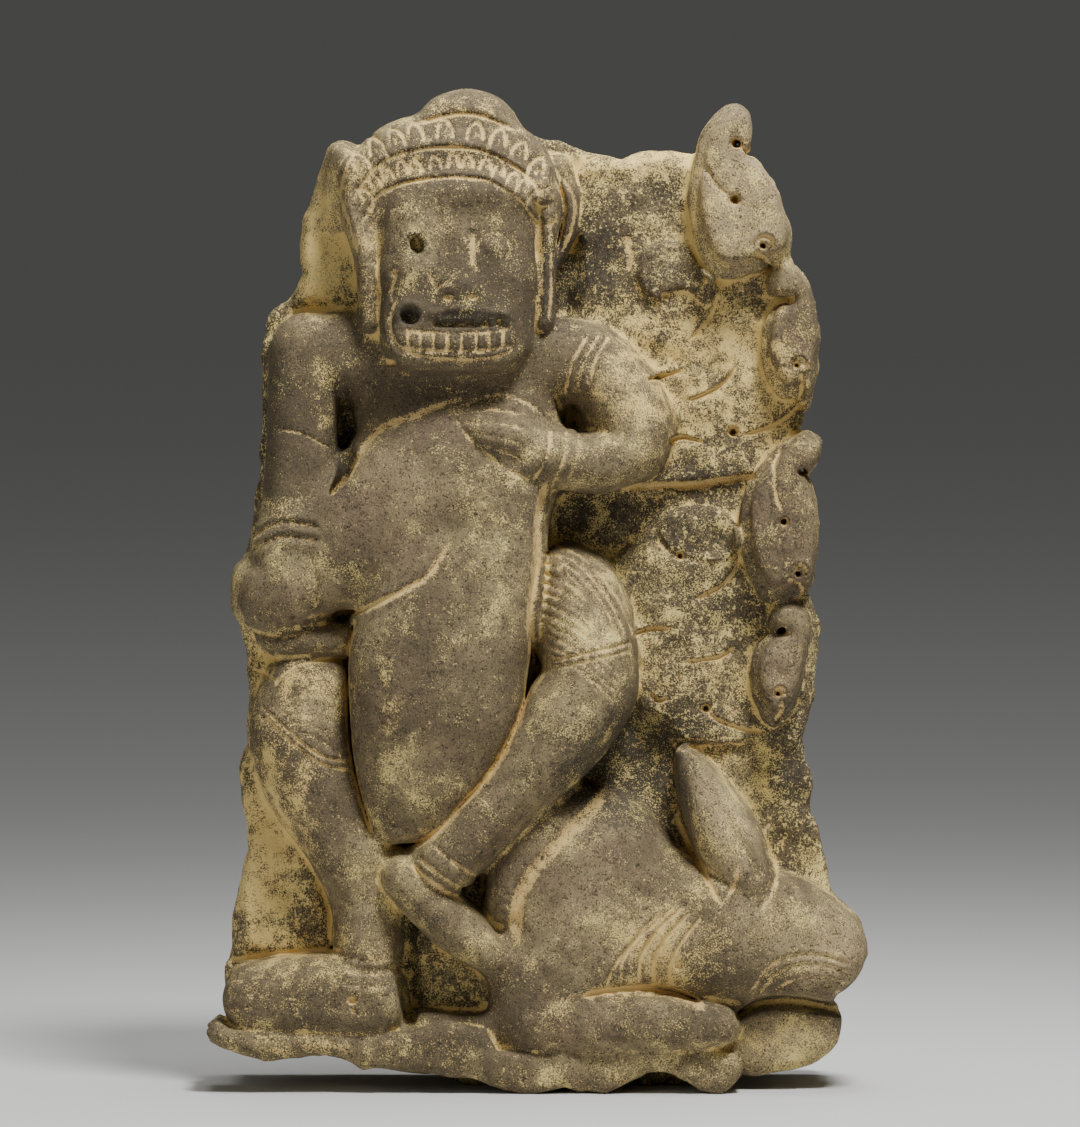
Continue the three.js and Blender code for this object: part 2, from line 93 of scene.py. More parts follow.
def joinSmooth(a, b, blend):
    share = np.clip(0.5 + 0.5 * (a - b) / blend, 0, 1)
    return a + (b - a) * share - blend * share * (1 - share)


def curveThrough(points, perSpan=7):
    rows = np.array(points, dtype=np.float64)
    padded = np.vstack([2 * rows[0] - rows[1], rows, 2 * rows[-1] - rows[-2]])
    made = []
    for i in range(len(rows) - 1):
        p0, p1, p2, p3 = padded[i:i + 4]
        for j in range(perSpan):
            t = j / perSpan
            made.append(0.5 * (2 * p1 + (p2 - p0) * t + (2 * p0 - 5 * p1 + 4 * p2 - p3) * t ** 2
                               + (3 * p1 - p0 - 3 * p2 + p3) * t ** 3))
    made.append(rows[-1])
    return np.array(made, dtype=np.float32)


# Distance from each (x, z) to a line, in units of its width there, and the place along it.
def alongLine(x, z, line, widths=None, soft=0.0):
    shape = np.broadcast(x, z).shape
    away = np.empty((len(line) - 1,) + shape, dtype=np.float32)
    place = np.empty_like(away)
    for i in range(len(line) - 1):
        (ax, az), (bx, bz) = line[i, :2], line[i + 1, :2]
        run = max((bx - ax) ** 2 + (bz - az) ** 2, 1e-6)
        along = ((x - ax) * (bx - ax) + (z - az) * (bz - az)) / run
        t = np.clip(along, 0, 1)
        away[i] = np.hypot(x - ax - t * (bx - ax), z - az - t * (bz - az))
        if widths is not None:
            away[i] /= widths[i] + t * (widths[i + 1] - widths[i])
        place[i] = i + (np.clip(along, -2, 3) if soft else t)
    nearest = away.min(axis=0)
    if soft:  # neighbouring stations share, so that the form doesn't step from one to the next
        share = np.exp((nearest - away) / soft)
        return nearest, (share * place).sum(axis=0) / share.sum(axis=0)
    return nearest, np.take_along_axis(place, away.argmin(axis=0)[None], axis=0)[0]


# Signed distance to a closed outline, negative inside.
def insideOutline(x, z, outline):
    points = np.array(outline, dtype=np.float32)
    nearest, _ = alongLine(x, z, np.vstack([points, points[:1]]))
    inside = np.zeros(nearest.shape, dtype=bool)
    for (ax, az), (bx, bz) in zip(points, np.roll(points, -1, axis=0)):
        if az == bz:
            continue
        crosses = (z >= min(az, bz)) & (z < max(az, bz))
        inside ^= crosses & (x < ax + (z - az) / (bz - az) * (bx - ax))
    return np.where(inside, -nearest, nearest)


def window(x0, x1, z0, z1, h0=-1e3, h1=1e3):
    sx, sz, sh = span(gridX, x0, x1), span(gridZ, z0, z1), span(gridH, h0, h1)
    return (sx, sz, sh), gridX[sx][:, None], gridZ[sz][None, :], gridH[sh][None, None, :]


def addStone(where, shape, blend):
    field[where] = joinSmooth(field[where], shape, blend)


def cutStone(where, shape, blend):
    field[where] = -joinSmooth(-field[where], shape, blend)


def drillStone(where, shape, blend):  # a crisp-edged hole
    cutStone(where, shape, 0.3 * blend)


# Distance to a rounded form: length is taken from its middle, reach is 1 on its skin.
def roundedSkin(length, reach):
    return (length - length / np.maximum(reach, 1e-3)).astype(np.float32)


# A rounded form along stations of x, z, half width, middle and half depth.
def limb(stations, blend=5, power=2.0, work=addStone):
    line = curveThrough(stations)
    widest = line[:, 2].max() + blend + 3
    low, high = line.min(axis=0), line.max(axis=0)
    tall = (line[:, 3] + line[:, 4]).max() + blend + 3
    deep = (line[:, 3] - line[:, 4]).min() - blend - 3
    where, x, z, h = window(low[0] - widest, high[0] + widest, low[1] - widest, high[1] + widest, deep, tall)
    away, place = alongLine(x, z, line, line[:, 2], soft=0.07)
    order = np.arange(len(line))
    width, middle, depth = (np.interp(place, order, line[:, k])[..., None] for k in (2, 3, 4))
    away = away[..., None]
    rise = h - middle
    reach = (np.abs(away) ** power + np.abs(rise / depth) ** power) ** (1 / power)
    length = np.sqrt((away * width) ** 2 + rise ** 2)
    work(where, roundedSkin(length, reach), blend)


# A rounded block: square shapes its outline, profile its section, 2 for an ellipse.
def boulder(x, z, h, rx, rz, rh, square=2.0, profile=2.0, turn=0, blend=5, work=addStone):
    pad = max(rx, rz) + blend + 3 if turn else 0
    px, pz = (pad, pad) if turn else (rx + blend + 3, rz + blend + 3)
    where, gx, gz, gh = window(x - px, x + px, z - pz, z + pz, h - rh - blend - 3, h + rh + blend + 3)
    c, s = math.cos(math.radians(turn)), math.sin(math.radians(turn))
    across = (gx - x) * c + (gz - z) * s
    up = (gz - z) * c - (gx - x) * s
    flat = (np.abs(across / rx) ** square + np.abs(up / rz) ** square) ** (1 / square)
    rise = gh - h
    reach = (flat[..., None] ** profile + np.abs(rise / rh) ** profile) ** (1 / profile)
    length = np.sqrt((across ** 2 + up ** 2)[..., None] + rise ** 2)
    work(where, roundedSkin(length, reach), blend)


# A flat-topped form inside an outline, from height low to high, its front edge worn round.
def plate(outline, low, high, wear, blend=4, smooth=True):
    points = curveThrough(outline + outline[:1], 5)[:-1] if smooth else np.array(outline)
    pad = blend + 4
    (x0, z0), (x1, z1) = points.min(axis=0), points.max(axis=0)
    where, x, z, h = window(x0 - pad, x1 + pad, z0 - pad, z1 + pad, low - pad, high + pad)
    side = insideOutline(x, z, points)[..., None]
    shape = -joinSmooth(-side, high - h, wear)
    addStone(where, np.maximum(shape, low - h).astype(np.float32), blend)


# An engraved line, deepest along its middle and running out at both ends.
def engrave(points, width=1.6, depth=2.5, ends=0.12, target=None):
    target = cutMap if target is None else target
    line = curveThrough(points, 6)
    pad = width * 2.6 + 2
    (x0, z0), (x1, z1) = line.min(axis=0), line.max(axis=0)
    where, x, z, _ = window(x0 - pad, x1 + pad, z0 - pad, z1 + pad)
    away, place = alongLine(x, z, line)
    share = place / (len(line) - 1)
    fade = smoothStep(np.minimum(share, 1 - share) / ends + 0.35) if ends else 1
    shape = depth * fade * np.exp(-(away / width) ** 2)
    target[where[:2]] = np.maximum(target[where[:2]], shape)


def bead(points, width=1.8, height=1.6, ends=0.1):
    engrave(points, width, height, ends, ridgeMap)


def besideLine(line, dx, dz):
    return [(x + dx, z + dz) for x, z in line]


# A cut line and the lip beside it, each with its width, its depth or height, and its ends.
def lippedLine(line, cut, lip, dx=0, dz=0):
    engrave(line, *cut)
    bead(besideLine(line, dx, dz), *lip)


# A round sinking or, with ridgeMap, a round boss.
def spot(x, z, radius, depth, target=None, edge=1.2, tall=1.0):
    target = cutMap if target is None else target
    pad = radius * max(1, tall) + edge + 2
    where, gx, gz, _ = window(x - pad, x + pad, z - pad, z + pad)
    away = np.hypot(gx - x, (gz - z) / tall)
    shape = depth * smoothStep((radius + edge - away) / (2 * edge))
    target[where[:2]] = np.maximum(target[where[:2]], shape)


def arcPoints(x, z, radius, start, stop):
    angles = np.radians(np.linspace(start, stop, 9))
    return [(x + radius * math.cos(a), z + radius * math.sin(a)) for a in angles]


# Roughness of the stone

random = np.random.default_rng(stoneBlock["seed"])


def splineWeights(axis, cell):
    place = (axis - axis[0]) / cell + 1.5
    base = np.floor(place).astype(int)
    t = place - base
    weights = np.zeros((len(axis), base.max() + 3), dtype=np.float32)
    rows = np.arange(len(axis))
    for k, w in enumerate([(1 - t) ** 3 / 6, (3 * t ** 3 - 6 * t ** 2 + 4) / 6,
                           (-3 * t ** 3 + 3 * t ** 2 + 3 * t + 1) / 6, t ** 3 / 6]):
        weights[rows, base - 1 + k] = w
    return weights


# Smooth random swell through the whole block, about one unit high, with lumps of this size.
def swell(cell):
    wx, wz, wh = (splineWeights(axis, cell) for axis in (gridX, gridZ, gridH))
    lattice = random.standard_normal((wx.shape[1], wz.shape[1], wh.shape[1])).astype(np.float32) * 2
    part = np.tensordot(wx, lattice, axes=(1, 0))
    part = np.einsum("ijk,zj->izk", part, wz, optimize=True)
    return part @ wh.T


def swellFlat(cell):
    wx, wz = splineWeights(gridX, cell), splineWeights(gridZ, cell)
    lattice = random.standard_normal((wx.shape[1], wz.shape[1])).astype(np.float32) * 1.6
    return wx @ lattice @ wz.T


# The block

brokenOutline = [  # round the front edge from the foot, left side first
    (-70, 13), (-90, 14), (-115, 15), (-125, 20), (-138, 23), (-160, 21), (-180, 20), (-200, 26), (-206, 45),
    (-207, 60), (-206, 80), (-204, 95), (-203, 115), (-200, 128), (-196, 142), (-192, 158), (-194, 175),
    (-197, 190), (-198, 205), (-197, 220), (-194, 228), (-193, 245), (-192, 265), (-194, 285), (-195, 300),
    (-199, 310), (-202, 325), (-200, 335), (-197, 345), (-193, 355), (-190, 370), (-188, 388), (-185, 405),
    (-184, 425), (-183, 445), (-184, 465), (-183, 485), (-182, 500), (-179, 510), (-172, 519), (-160, 529),
    (-156, 540), (-158, 558), (-157, 574), (-149, 590), (-143, 600), (-139, 610), (-136, 620), (-129, 625),
    (-121, 623), (-112, 629), (-98, 634), (-60, 640), (-20, 638), (-9, 633), (0, 630), (15, 627), (28, 622),
    (38, 619), (48, 618), (56, 615), (68, 619), (85, 621), (98, 619), (106, 619), (125, 628), (140, 612),
    (150, 606), (160, 590), (166, 572), (169, 556), (172, 544), (179, 527), (184, 505), (186, 488), (183, 470),
    (180, 450), (176, 436), (180, 424), (176, 410), (182, 398), (186, 376), (186, 358), (183, 340), (182, 328),
    (185, 316), (189, 306), (187, 294), (185, 265), (182, 245), (178, 231), (181, 214), (184, 199), (181, 186),
    (188, 173), (191, 158), (195, 142), (196, 120), (192, 100), (190, 75), (194, 60), (200, 52), (202, 36),
    (197, 27), (188, 20), (175, 15), (160, 13), (145, 10), (130, 6), (120, 2), (100, 0), (70, 0), (0, 0),
    (-50, 0), (-62, 6),
]

ground = {  # how the field behind the figures lies, mm above the ground plane
    "fields": [
        ([(20, 498), (28, 560), (26, 606), (60, 614), (104, 610), (140, 565), (172, 520), (176, 450),
          (150, 405), (115, 401), (90, 399), (66, 396), (84, 430), (60, 470)], 7, 5),
        ([(48, 346), (62, 357), (78, 358), (96, 351), (150, 352), (180, 330), (180, 236), (140, 228),
          (112, 227), (90, 231), (70, 250), (66, 290)], 6, 5),
        ([(-200, 88), (-197, 205), (-184, 220), (-164, 182), (-142, 128), (-138, 88)], 12, 7),
        ([(-158, 520), (-156, 575), (-140, 612), (-120, 600), (-112, 520)], 14, 8),
    ],
    "hollows": [
        ([(8, 358), (10, 392), (60, 396), (84, 392), (70, 362), (50, 352)], -7, 6),
        ([(14, 168), (20, 215), (45, 245), (88, 240), (96, 190), (70, 172), (40, 190)], -9, 6),
        ([(14, 512), (15, 556), (26, 562), (32, 530), (24, 508)], -6, 4),
        ([(-78, 52), (-80, 104), (-48, 84), (-26, 72), (-30, 50)], 8, 5),
    ],
}


def carveBlock():
    x, z = gridX[:, None], gridZ[None, :]
    rise = sum(swellFlat(size) * height for size, height in stoneBlock["groundLumps"])
    for group in ground.values():
        for outline, height, edge in group:
            side = insideOutline(x, z, curveThrough(outline + outline[:1], 4))
            rise = rise + height * smoothStep(0.5 - side / (2 * edge))
    border = insideOutline(x, z, np.array(brokenOutline))
    h = gridH[None, None, :]
    # breaks run through the thickness
    broken = sum(swell(size) * height for size, height in stoneBlock["breakLumps"])
    behind = between(-h, 0, 30)  # nothing at the front edge, whose outline is kept
    foot = between(z[..., None], 4, 26)  # nor at the foot, which stays flat
    side = border[..., None] + behind * foot * (stoneBlock["breakDepth"] + broken)
    front = h - rise[..., None].astype(np.float32)
    shape = -joinSmooth(-side, -front, stoneBlock["edgeWear"])
    field[...] = -joinSmooth(-shape, h + stoneBlock["slabDepth"], 3)


# Base ledge, the step in the recess and the stump under the bull's jaw

baseLedge = {
    "outline": [
        (-219, 40), (-216, 34), (-206, 29), (-195, 24), (-180, 20.5), (-160, 23), (-140, 26), (-126, 21),
        (-113, 15), (-90, 14), (-60, 12), (-40, 9), (-26, 3), (-10, -2), (10, 1), (18, 4), (28, 1), (45, 0),
        (57, 7), (72, 14), (85, 14), (100, 8), (110, 1), (122, -1), (130, 5), (136, 12), (133, 26), (110, 30),
        (60, 33), (28, 29), (0, 27), (-26, 28), (-34, 42), (-60, 48), (-85, 41), (-120, 40), (-160, 41),
        (-203, 43), (-212, 47),
    ],
    "front": 57, "behind": -10,
    "step": [(-92, 20), (-94, 46), (-74, 52), (-50, 50), (-30, 49), (-24, 22)],
    "stepFront": 44,
    "stump": [(126, 10), (130, 50), (150, 60), (194, 57), (203, 50), (202, 35), (197, 26), (178, 14),
              (150, 9)],
    "stumpFront": 33,
}


def carveLedge():
    g = baseLedge
    plate(g["outline"], g["behind"], g["front"], wear=9, smooth=False)
    plate(g["step"], g["behind"], g["stepFront"], wear=8, blend=3)
    plate(g["stump"], g["behind"], g["stumpFront"], wear=14, blend=3)


# The head and its crown

guardianHead = {
    "face": dict(x=-52, z=541, h=34, rx=52, rz=66, rh=46, square=4.6, profile=3.6),
    "muzzle": dict(x=-54, z=503, h=40, rx=46.5, rz=28.5, rh=46, square=3.8, profile=4.6),
    "cap": dict(x=-56, z=588, h=22, rx=70, rz=57, rh=44, square=2.5, profile=3.0),
    "knob": dict(x=-46, z=634, h=16, rx=34, rz=27, rh=36, square=2.0, profile=2.8),
    "hollowEye": dict(x=-79, z=558, h=80, rx=4.8, rz=6.8, rh=12, turn=12),
    "mouthCorner": dict(x=-83.5, z=511, h=84, rx=6.5, rz=5.5, rh=10),
    "toothGaps": [-84, -76, -67.5, -58.5, -49, -39.5, -31, -22],
    "foreheadArc": [(-112, 580), (-105, 593), (-92, 600), (-79, 603), (-62, 605), (-47, 605), (-32, 603),
                    (-19, 596), (-9, 588), (0, 576)],
    "petalArc": [(-117, 598), (-107, 611), (-93, 619), (-79, 623), (-60, 625), (-38, 623), (-22, 617),
                 (-7, 607), (4, 594)],
}


def carveHead():
    g = guardianHead
    boulder(**g["cap"], blend=6)
    boulder(**g["knob"], blend=6)
    # locks and ribbons on both sides, behind the face
    limb([(-117, 606, 14, 26, 30), (-116, 582, 14, 28, 30), (-111, 545, 9, 30, 32), (-109, 508, 9, 30, 30)],
         power=3)
    limb([(-130, 617, 10, 6, 32), (-133, 600, 11, 4, 30), (-133, 576, 12, 2, 24)], blend=8)
    limb([(3, 606, 10, 26, 32), (7, 586, 10, 28, 32), (6, 550, 7.5, 30, 28), (5, 508, 7.5, 30, 26)], 3, 2.6)
    limb([(14, 609, 8, 12, 28), (21, 588, 8, 12, 26), (20, 566, 6, 12, 22), (13, 545, 3, 10, 18)], blend=3)
    boulder(**g["face"], blend=3)
    boulder(**g["muzzle"], blend=10)
    # low broad nose, brow and cheeks
    limb([(-49, 568, 7, 62, 15), (-48, 550, 11, 66, 16), (-50, 533, 18, 72, 17)], blend=10)
    boulder(-80, 540, 62, 19, 15, 19, blend=12)
    boulder(-20, 536, 62, 16, 15, 19, blend=12)
    boulder(-28, 555, 70, 11, 11, 11.5, blend=4)
    boulder(-36, 592, 60, 40, 14, 21, blend=14)
    for hole in ("hollowEye", "mouthCorner"):
        boulder(**g[hole], work=drillStone)
    # the open mouth
    limb([(-66, 506, 3, 92, 11), (-44, 506, 3.8, 94, 13), (-17, 508, 3.4, 91, 11)], 1.5, work=cutStone)
    for x in (-38, -29, -20.5):
        limb([(x, 512, 3.4, 78, 8), (x, 508, 3.4, 78, 7.5)], 1, 3.5)


def engraveHead():
    g = guardianHead
    bead([(-95, 526), (-100, 514), (-100, 502), (-96, 491), (-88, 484), (-74, 479), (-56, 477), (-38, 477),
          (-22, 480), (-12, 486), (-8, 498)], 2.0, 1.2)
    engrave([(-91, 524), (-95.5, 513), (-95.5, 503), (-92, 494), (-85, 488.5), (-72, 484.5), (-55, 483),
             (-36, 483.3), (-22, 486), (-14, 492)], 1.2, 1.6)
    bead([(-72, 513), (-56, 516), (-40, 516), (-17, 513)], 2.4, 1.8)  # upper lip
    bead([(-89, 497), (-70, 495), (-50, 494.5), (-30, 495.5), (-15, 498)], 4.5, 1.6)  # row of lower teeth
    for x in g["toothGaps"]:
        sag = 0.0022 * (x + 52) ** 2
        engrave([(x, 501 + sag), (x, 489.5 + sag)], 1.05, 2.4, ends=0)
    engrave([(-90, 502), (-70, 500.5), (-50, 500.3), (-30, 501), (-15, 504)], 1.0, 1.3)
    engrave([(-89, 491), (-70, 489), (-50, 488.5), (-30, 489.5), (-16, 492.5)], 1.2, 1.8)
    bead(arcPoints(-83, 511, 9.5, 10, 190), 1.7, 1.6)
    engrave([(-92, 541), (-96, 524)], 1.8, 1.2)
    for x in (-58, -42):  # nostrils
        spot(x, 523.5, 3.4, 2.6, edge=2, tall=0.6)
    engrave([(-64, 530), (-58, 533.5), (-52, 531)], 1.1, 0.9)
    engrave([(-70, 538), (-66, 529), (-68, 520)], 2.0, 1.2)
    engrave([(-60, 572), (-59, 556), (-60, 548)], 1.0, 0.6)
    engrave([(-41, 566), (-42, 550), (-38, 540)], 2.2, 1.4)
    engrave(arcPoints(-28, 555, 10.5, -60, 200), 1.1, 1.1)
    engrave(arcPoints(-28, 555, 15.5, -80, 60), 1.1, 0.7)
    spot(-32, 558, 3.2, 0.8, ridgeMap, 2)
    bead(arcPoints(-79, 558, 8, 70, 210), 1.5, 1.0)
    engrave(arcPoints(-91, 578, 4.5, 0, 250), 1.0, 0.8)
    for z in (571.5, 582):
        engrave([(-66, z + 2), (-50, z), (-34, z + 1)], 1.0, 0.55)
    spot(-93.5, 540, 2, 2.5)
    spot(-96, 481, 4, 2.5, tall=0.5)
    # crown: two bands of worn petals and the foot of the knob
    for arc, count, tall in ((g["foreheadArc"], 13, 12), (g["petalArc"], 9, 15)):
        bead(arc, 2.4, 2.2, ends=0)
        engrave(besideLine(arc, 0, -3.5), 1.3, 1.6, ends=0)
        path = curveThrough(arc, 8)
        for i in range(count):
            x, z = path[int((i + 0.5) / count * (len(path) - 1))]
            lean = (x + 50) * 0.0065  # petals fan out from the middle
            half = 47 / count
            tip = (x + lean * tall, z + tall + 0.8 * math.sin(2.3 * i))
            left, right = ((x + side * half * 0.8 + lean * 6, z + tall * 0.7) for side in (-1, 1))
            engrave([(x - half, z + 3.5), left, tip, right, (x + half, z + 3.5)], 1.2, 1.7, ends=0)
            engrave([(x + lean * 3, z + 4), (x + lean * tall * 0.6, z + tall * 0.6)], 1.0, 1.0)
    bead([(-77, 641), (-60, 646.5), (-48, 648), (-34, 645.5), (-18, 638)], 2.6, 1.6)
    engrave([(-80, 637), (-60, 642), (-47, 643.5), (-33, 641), (-14, 633)], 1.4, 1.8)
    engrave([(-66, 652), (-48, 655), (-30, 650)], 1.2, 0.8)
    # strands of the locks
    for i in range(8):
        z = 606 - 11 * i
        engrave([(-105, z), (-112, z - 6), (-121 + 0.9 * i, z - 19)], 1.1, 0.9)
    engrave([(-121, 617), (-126, 606), (-129, 590), (-123, 570), (-117, 552)], 1.8, 1.5)
    for x in (2.5, 8.5):
        engrave([(x, 576), (x + 1, 545), (x, 509)], 1.2, 1.7)
    for x, z, size in ((5, 589, 5), (8, 577, 4.5), (4, 600, 5)):  # the ear's lobes
        spot(x, z, size, 1.6, ridgeMap, 2)
        engrave(arcPoints(x, z, size + 1, 200, 400), 1.1, 0.9)
    engrave([(16, 604), (25, 588), (24, 572), (16, 552)], 1.3, 1.8)
    engrave([(11, 602), (18, 588), (18, 574), (12, 556)], 1.2, 1.5)


# Body, arms and hand

guardianBody = {
    "shoulders": [(-150, 486, 27, 8, 36), (-100, 485, 30, 12, 38), (-50, 484, 30, 14, 40),
                  (0, 483, 28, 14, 38), (34, 480, 26, 10, 38)],
    "chest": [(-52, 470, 67, 8, 46), (-50, 440, 68, 10, 56), (-42, 408, 54, 12, 62)],
    "breast": dict(x=-82, z=402, h=18, rx=50, rz=42, rh=54, square=2.4, turn=30),
    "belly": [(-20, 410, 32, 20, 50), (-30, 366, 38, 22, 54), (-52, 326, 58, 20, 59), (-64, 292, 62, 18, 63),
              (-67, 255, 59, 18, 62), (-74, 222, 49, 18, 53), (-84, 193, 32, 18, 44), (-92, 176, 14, 16, 38)],
    "nearArm": [(-151, 486, 27, 8, 38), (-155, 450, 24, 8, 38), (-157, 415, 23, 10, 38),
                (-161, 380, 23, 12, 38), (-166, 350, 25, 14, 40)],
    "elbow": dict(x=-170, z=329, h=10, rx=34, rz=29, rh=46, square=2.6),
    "nearForearm": [(-150, 342, 30, 20, 40), (-116, 366, 42, 22, 48), (-86, 392, 45, 22, 52),
                    (-62, 408, 38, 22, 54)],
    "farArm": [(26, 484, 25, 6, 42), (44, 472, 27, 8, 46), (58, 454, 28, 10, 46), (66, 436, 23, 12, 45)],
    "farForearm": [(66, 424, 22, 14, 44), (48, 417, 22, 18, 44), (28, 415, 20, 24, 44), (6, 420, 20, 32, 44)],
    "hand": dict(x=-23, z=432, h=38, rx=35, rz=22, rh=42, turn=-14, square=2.2),
}


def carveBody():
    g = guardianBody
    limb(g["shoulders"], blend=6, power=2.6)
    limb(g["chest"], blend=12, power=2.6)
    limb(g["belly"], blend=12, power=3.0)
    limb(g["nearArm"], blend=3, power=2.8)
    boulder(**g["elbow"], blend=5)
    boulder(**g["breast"], blend=14)
    limb(g["nearForearm"], blend=12, power=2.6)
    limb(g["farArm"], blend=6, power=2.4)
    limb(g["farForearm"], blend=5, power=2.4)
    boulder(**g["hand"], blend=5)
    # the gap between arm and side, and the hollow inside the bent arm
    limb([(-124, 462, 3, 44, 14), (-126, 436, 5, 44, 18), (-127, 410, 5, 44, 14), (-134, 394, 3, 44, 12)], 4,
         work=cutStone)
    boulder(64, 440, 12, 28, 22, 42, blend=8)
    boulder(-150, 297, 8, 36, 15, 36, blend=6)
    boulder(-4, 414, 36, 14, 13, 38, turn=60, blend=8)  # heel of the hand
    limb([(13, 458, 2, 52, 14), (19, 447, 5, 52, 32), (27, 439, 3, 52, 22)], 4, work=cutStone)


def engraveBody():
    for z, size in ((380, 1.4), (371, 1.9), (362, 1.3)):
        bead([(-187, z - 8), (-168, z), (-145, z - 2)], 2.6, size, ends=0)
    for z in (375.5, 366.5):
        engrave([(-187, z - 8), (-168, z), (-145, z - 2)], 1.1, 1.2, ends=0)
    engrave([(-172, 437), (-155, 434), (-137, 424)], 1.0, 1.6)
    engrave([(-150, 356), (-146, 338), (-146, 318)], 1.6, 1.2)
    engrave([(-200, 309), (-172, 300), (-146, 305)], 1.4, 1.2)
    for i in range(6):  # worn cuts on the elbow's underside
        engrave([(-196 + 9 * i, 318 - 0.8 * i), (-194 + 9 * i, 308 - 0.8 * i)], 1.1, 0.8)
    # where the forearm lies over the belly
    engrave([(-150, 314), (-120, 317), (-95, 328), (-80, 336), (-70, 343), (-62, 355), (-54, 366)],
            2.2, 2.8, ends=0.3)
    engrave([(-136, 396), (-126, 404), (-119, 416), (-111, 429), (-100, 439), (-76, 448), (-48, 458)],
            2.4, 2.2, ends=0.2)
    engrave([(6, 402), (1, 380), (0, 350), (-4, 318), (-3, 284), (-8, 258)], 2.2, 3, ends=0.15)
    # hand and wrist
    engrave([(9.5, 437), (8, 424), (3, 412), (-3, 403)], 1.2, 2.2, ends=0.15)
    for x, size in ((13.5, 1.9), (21.5, 1.5)):
        bead([(x + 2, 436), (x, 419), (x - 8, 400)], 3.0, size, ends=0)
    for x in (17.5, 26):
        engrave([(x + 2, 435), (x + 0.5, 419), (x - 7, 400)], 1.0, 1.1, ends=0)
    for finger in ([(-50, 447), (-30, 450), (-6, 447)], [(-52, 441), (-30, 442), (-4, 437)],
                   [(-47, 435), (-28, 433), (-4, 426)], [(-39, 428), (-22, 423), (-4, 414)]):
        engrave(finger, 1.05, 1.15, ends=0.25)
    engrave([(-55, 446), (-46, 434), (-30, 419), (-14, 408), (-3, 403)], 1.5, 1.4)
    engrave([(-52, 450), (-38, 457), (-22, 460), (-6, 454), (5, 446)], 1.5, 1.2)
    for z in (466, 471):
        engrave([(-78, z - 3), (-50, z - 9), (-20, z - 5), (4, z)], 1.2, 0.7)
    # sleeve
    for top, low in (((35, 501), (19, 461)), ((42, 500), (27, 464)), ((48, 498), (36, 468))):
        line = [top, ((top[0] + low[0]) / 2 - 3, (top[1] + low[1]) / 2), low]
        lippedLine(line, (1.2, 1.5), (1.6, 1.1), dx=2.6)
    for i in range(3):
        bead([(48 + 5 * i, 500 - 8 * i), (56 + 4 * i, 490 - 7 * i), (62 + 3 * i, 477 - 6 * i)], 1.4, 0.9)
        engrave([(51 + 5 * i, 499 - 8 * i), (58 + 4 * i, 488 - 7 * i), (64 + 3 * i, 475 - 6 * i)], 1.1, 1.0)


# Legs, feet and garment

guardianLegs = {
    "standing": [(-152, 262, 31, 8, 40), (-157, 238, 35, 8, 43), (-150, 208, 34, 8, 43),
                 (-134, 176, 29, 8, 41), (-121, 148, 26, 8, 40), (-113, 122, 24, 8, 39),
                 (-112, 92, 24, 12, 43)],
    "standingFoot": [(-184, 60, 25, 18, 40), (-160, 62, 27, 18, 42), (-132, 62, 28, 18, 43),
                     (-110, 60, 26, 18, 43)],
    "thigh": [(20, 342, 20, 2, 50), (28, 324, 31, 4, 58), (33, 298, 34, 8, 62)],
    "shin": [(36, 284, 31, 20, 56), (34, 266, 33, 22, 58), (17, 240, 33, 22, 58), (-7, 210, 28, 22, 54),
             (-26, 188, 26, 22, 52), (-44, 170, 25, 22, 50), (-64, 150, 23, 22, 48)],
    "crossedFoot": [(-88, 142, 17, 24, 42), (-73, 127, 18, 24, 42), (-56, 111, 18, 24, 41),
                    (-40, 98, 16, 24, 40), (-29, 89, 13.5, 24, 38)],
}


def carveLegs():
    g = guardianLegs
    limb(g["standing"], blend=4, power=2.4)
    limb(g["standingFoot"], blend=4, power=3)
    limb(g["thigh"], blend=5, power=2.4)
    limb(g["shin"], blend=5, power=2.3)
    limb(g["crossedFoot"], blend=3, power=2.4)
    boulder(-112, 158, 8, 22, 26, 42, blend=8)
    # behind the heel
    limb([(-84, 48, 5, 40, 22), (-86, 80, 8, 40, 24), (-90, 112, 3, 40, 16)], 4, work=cutStone)


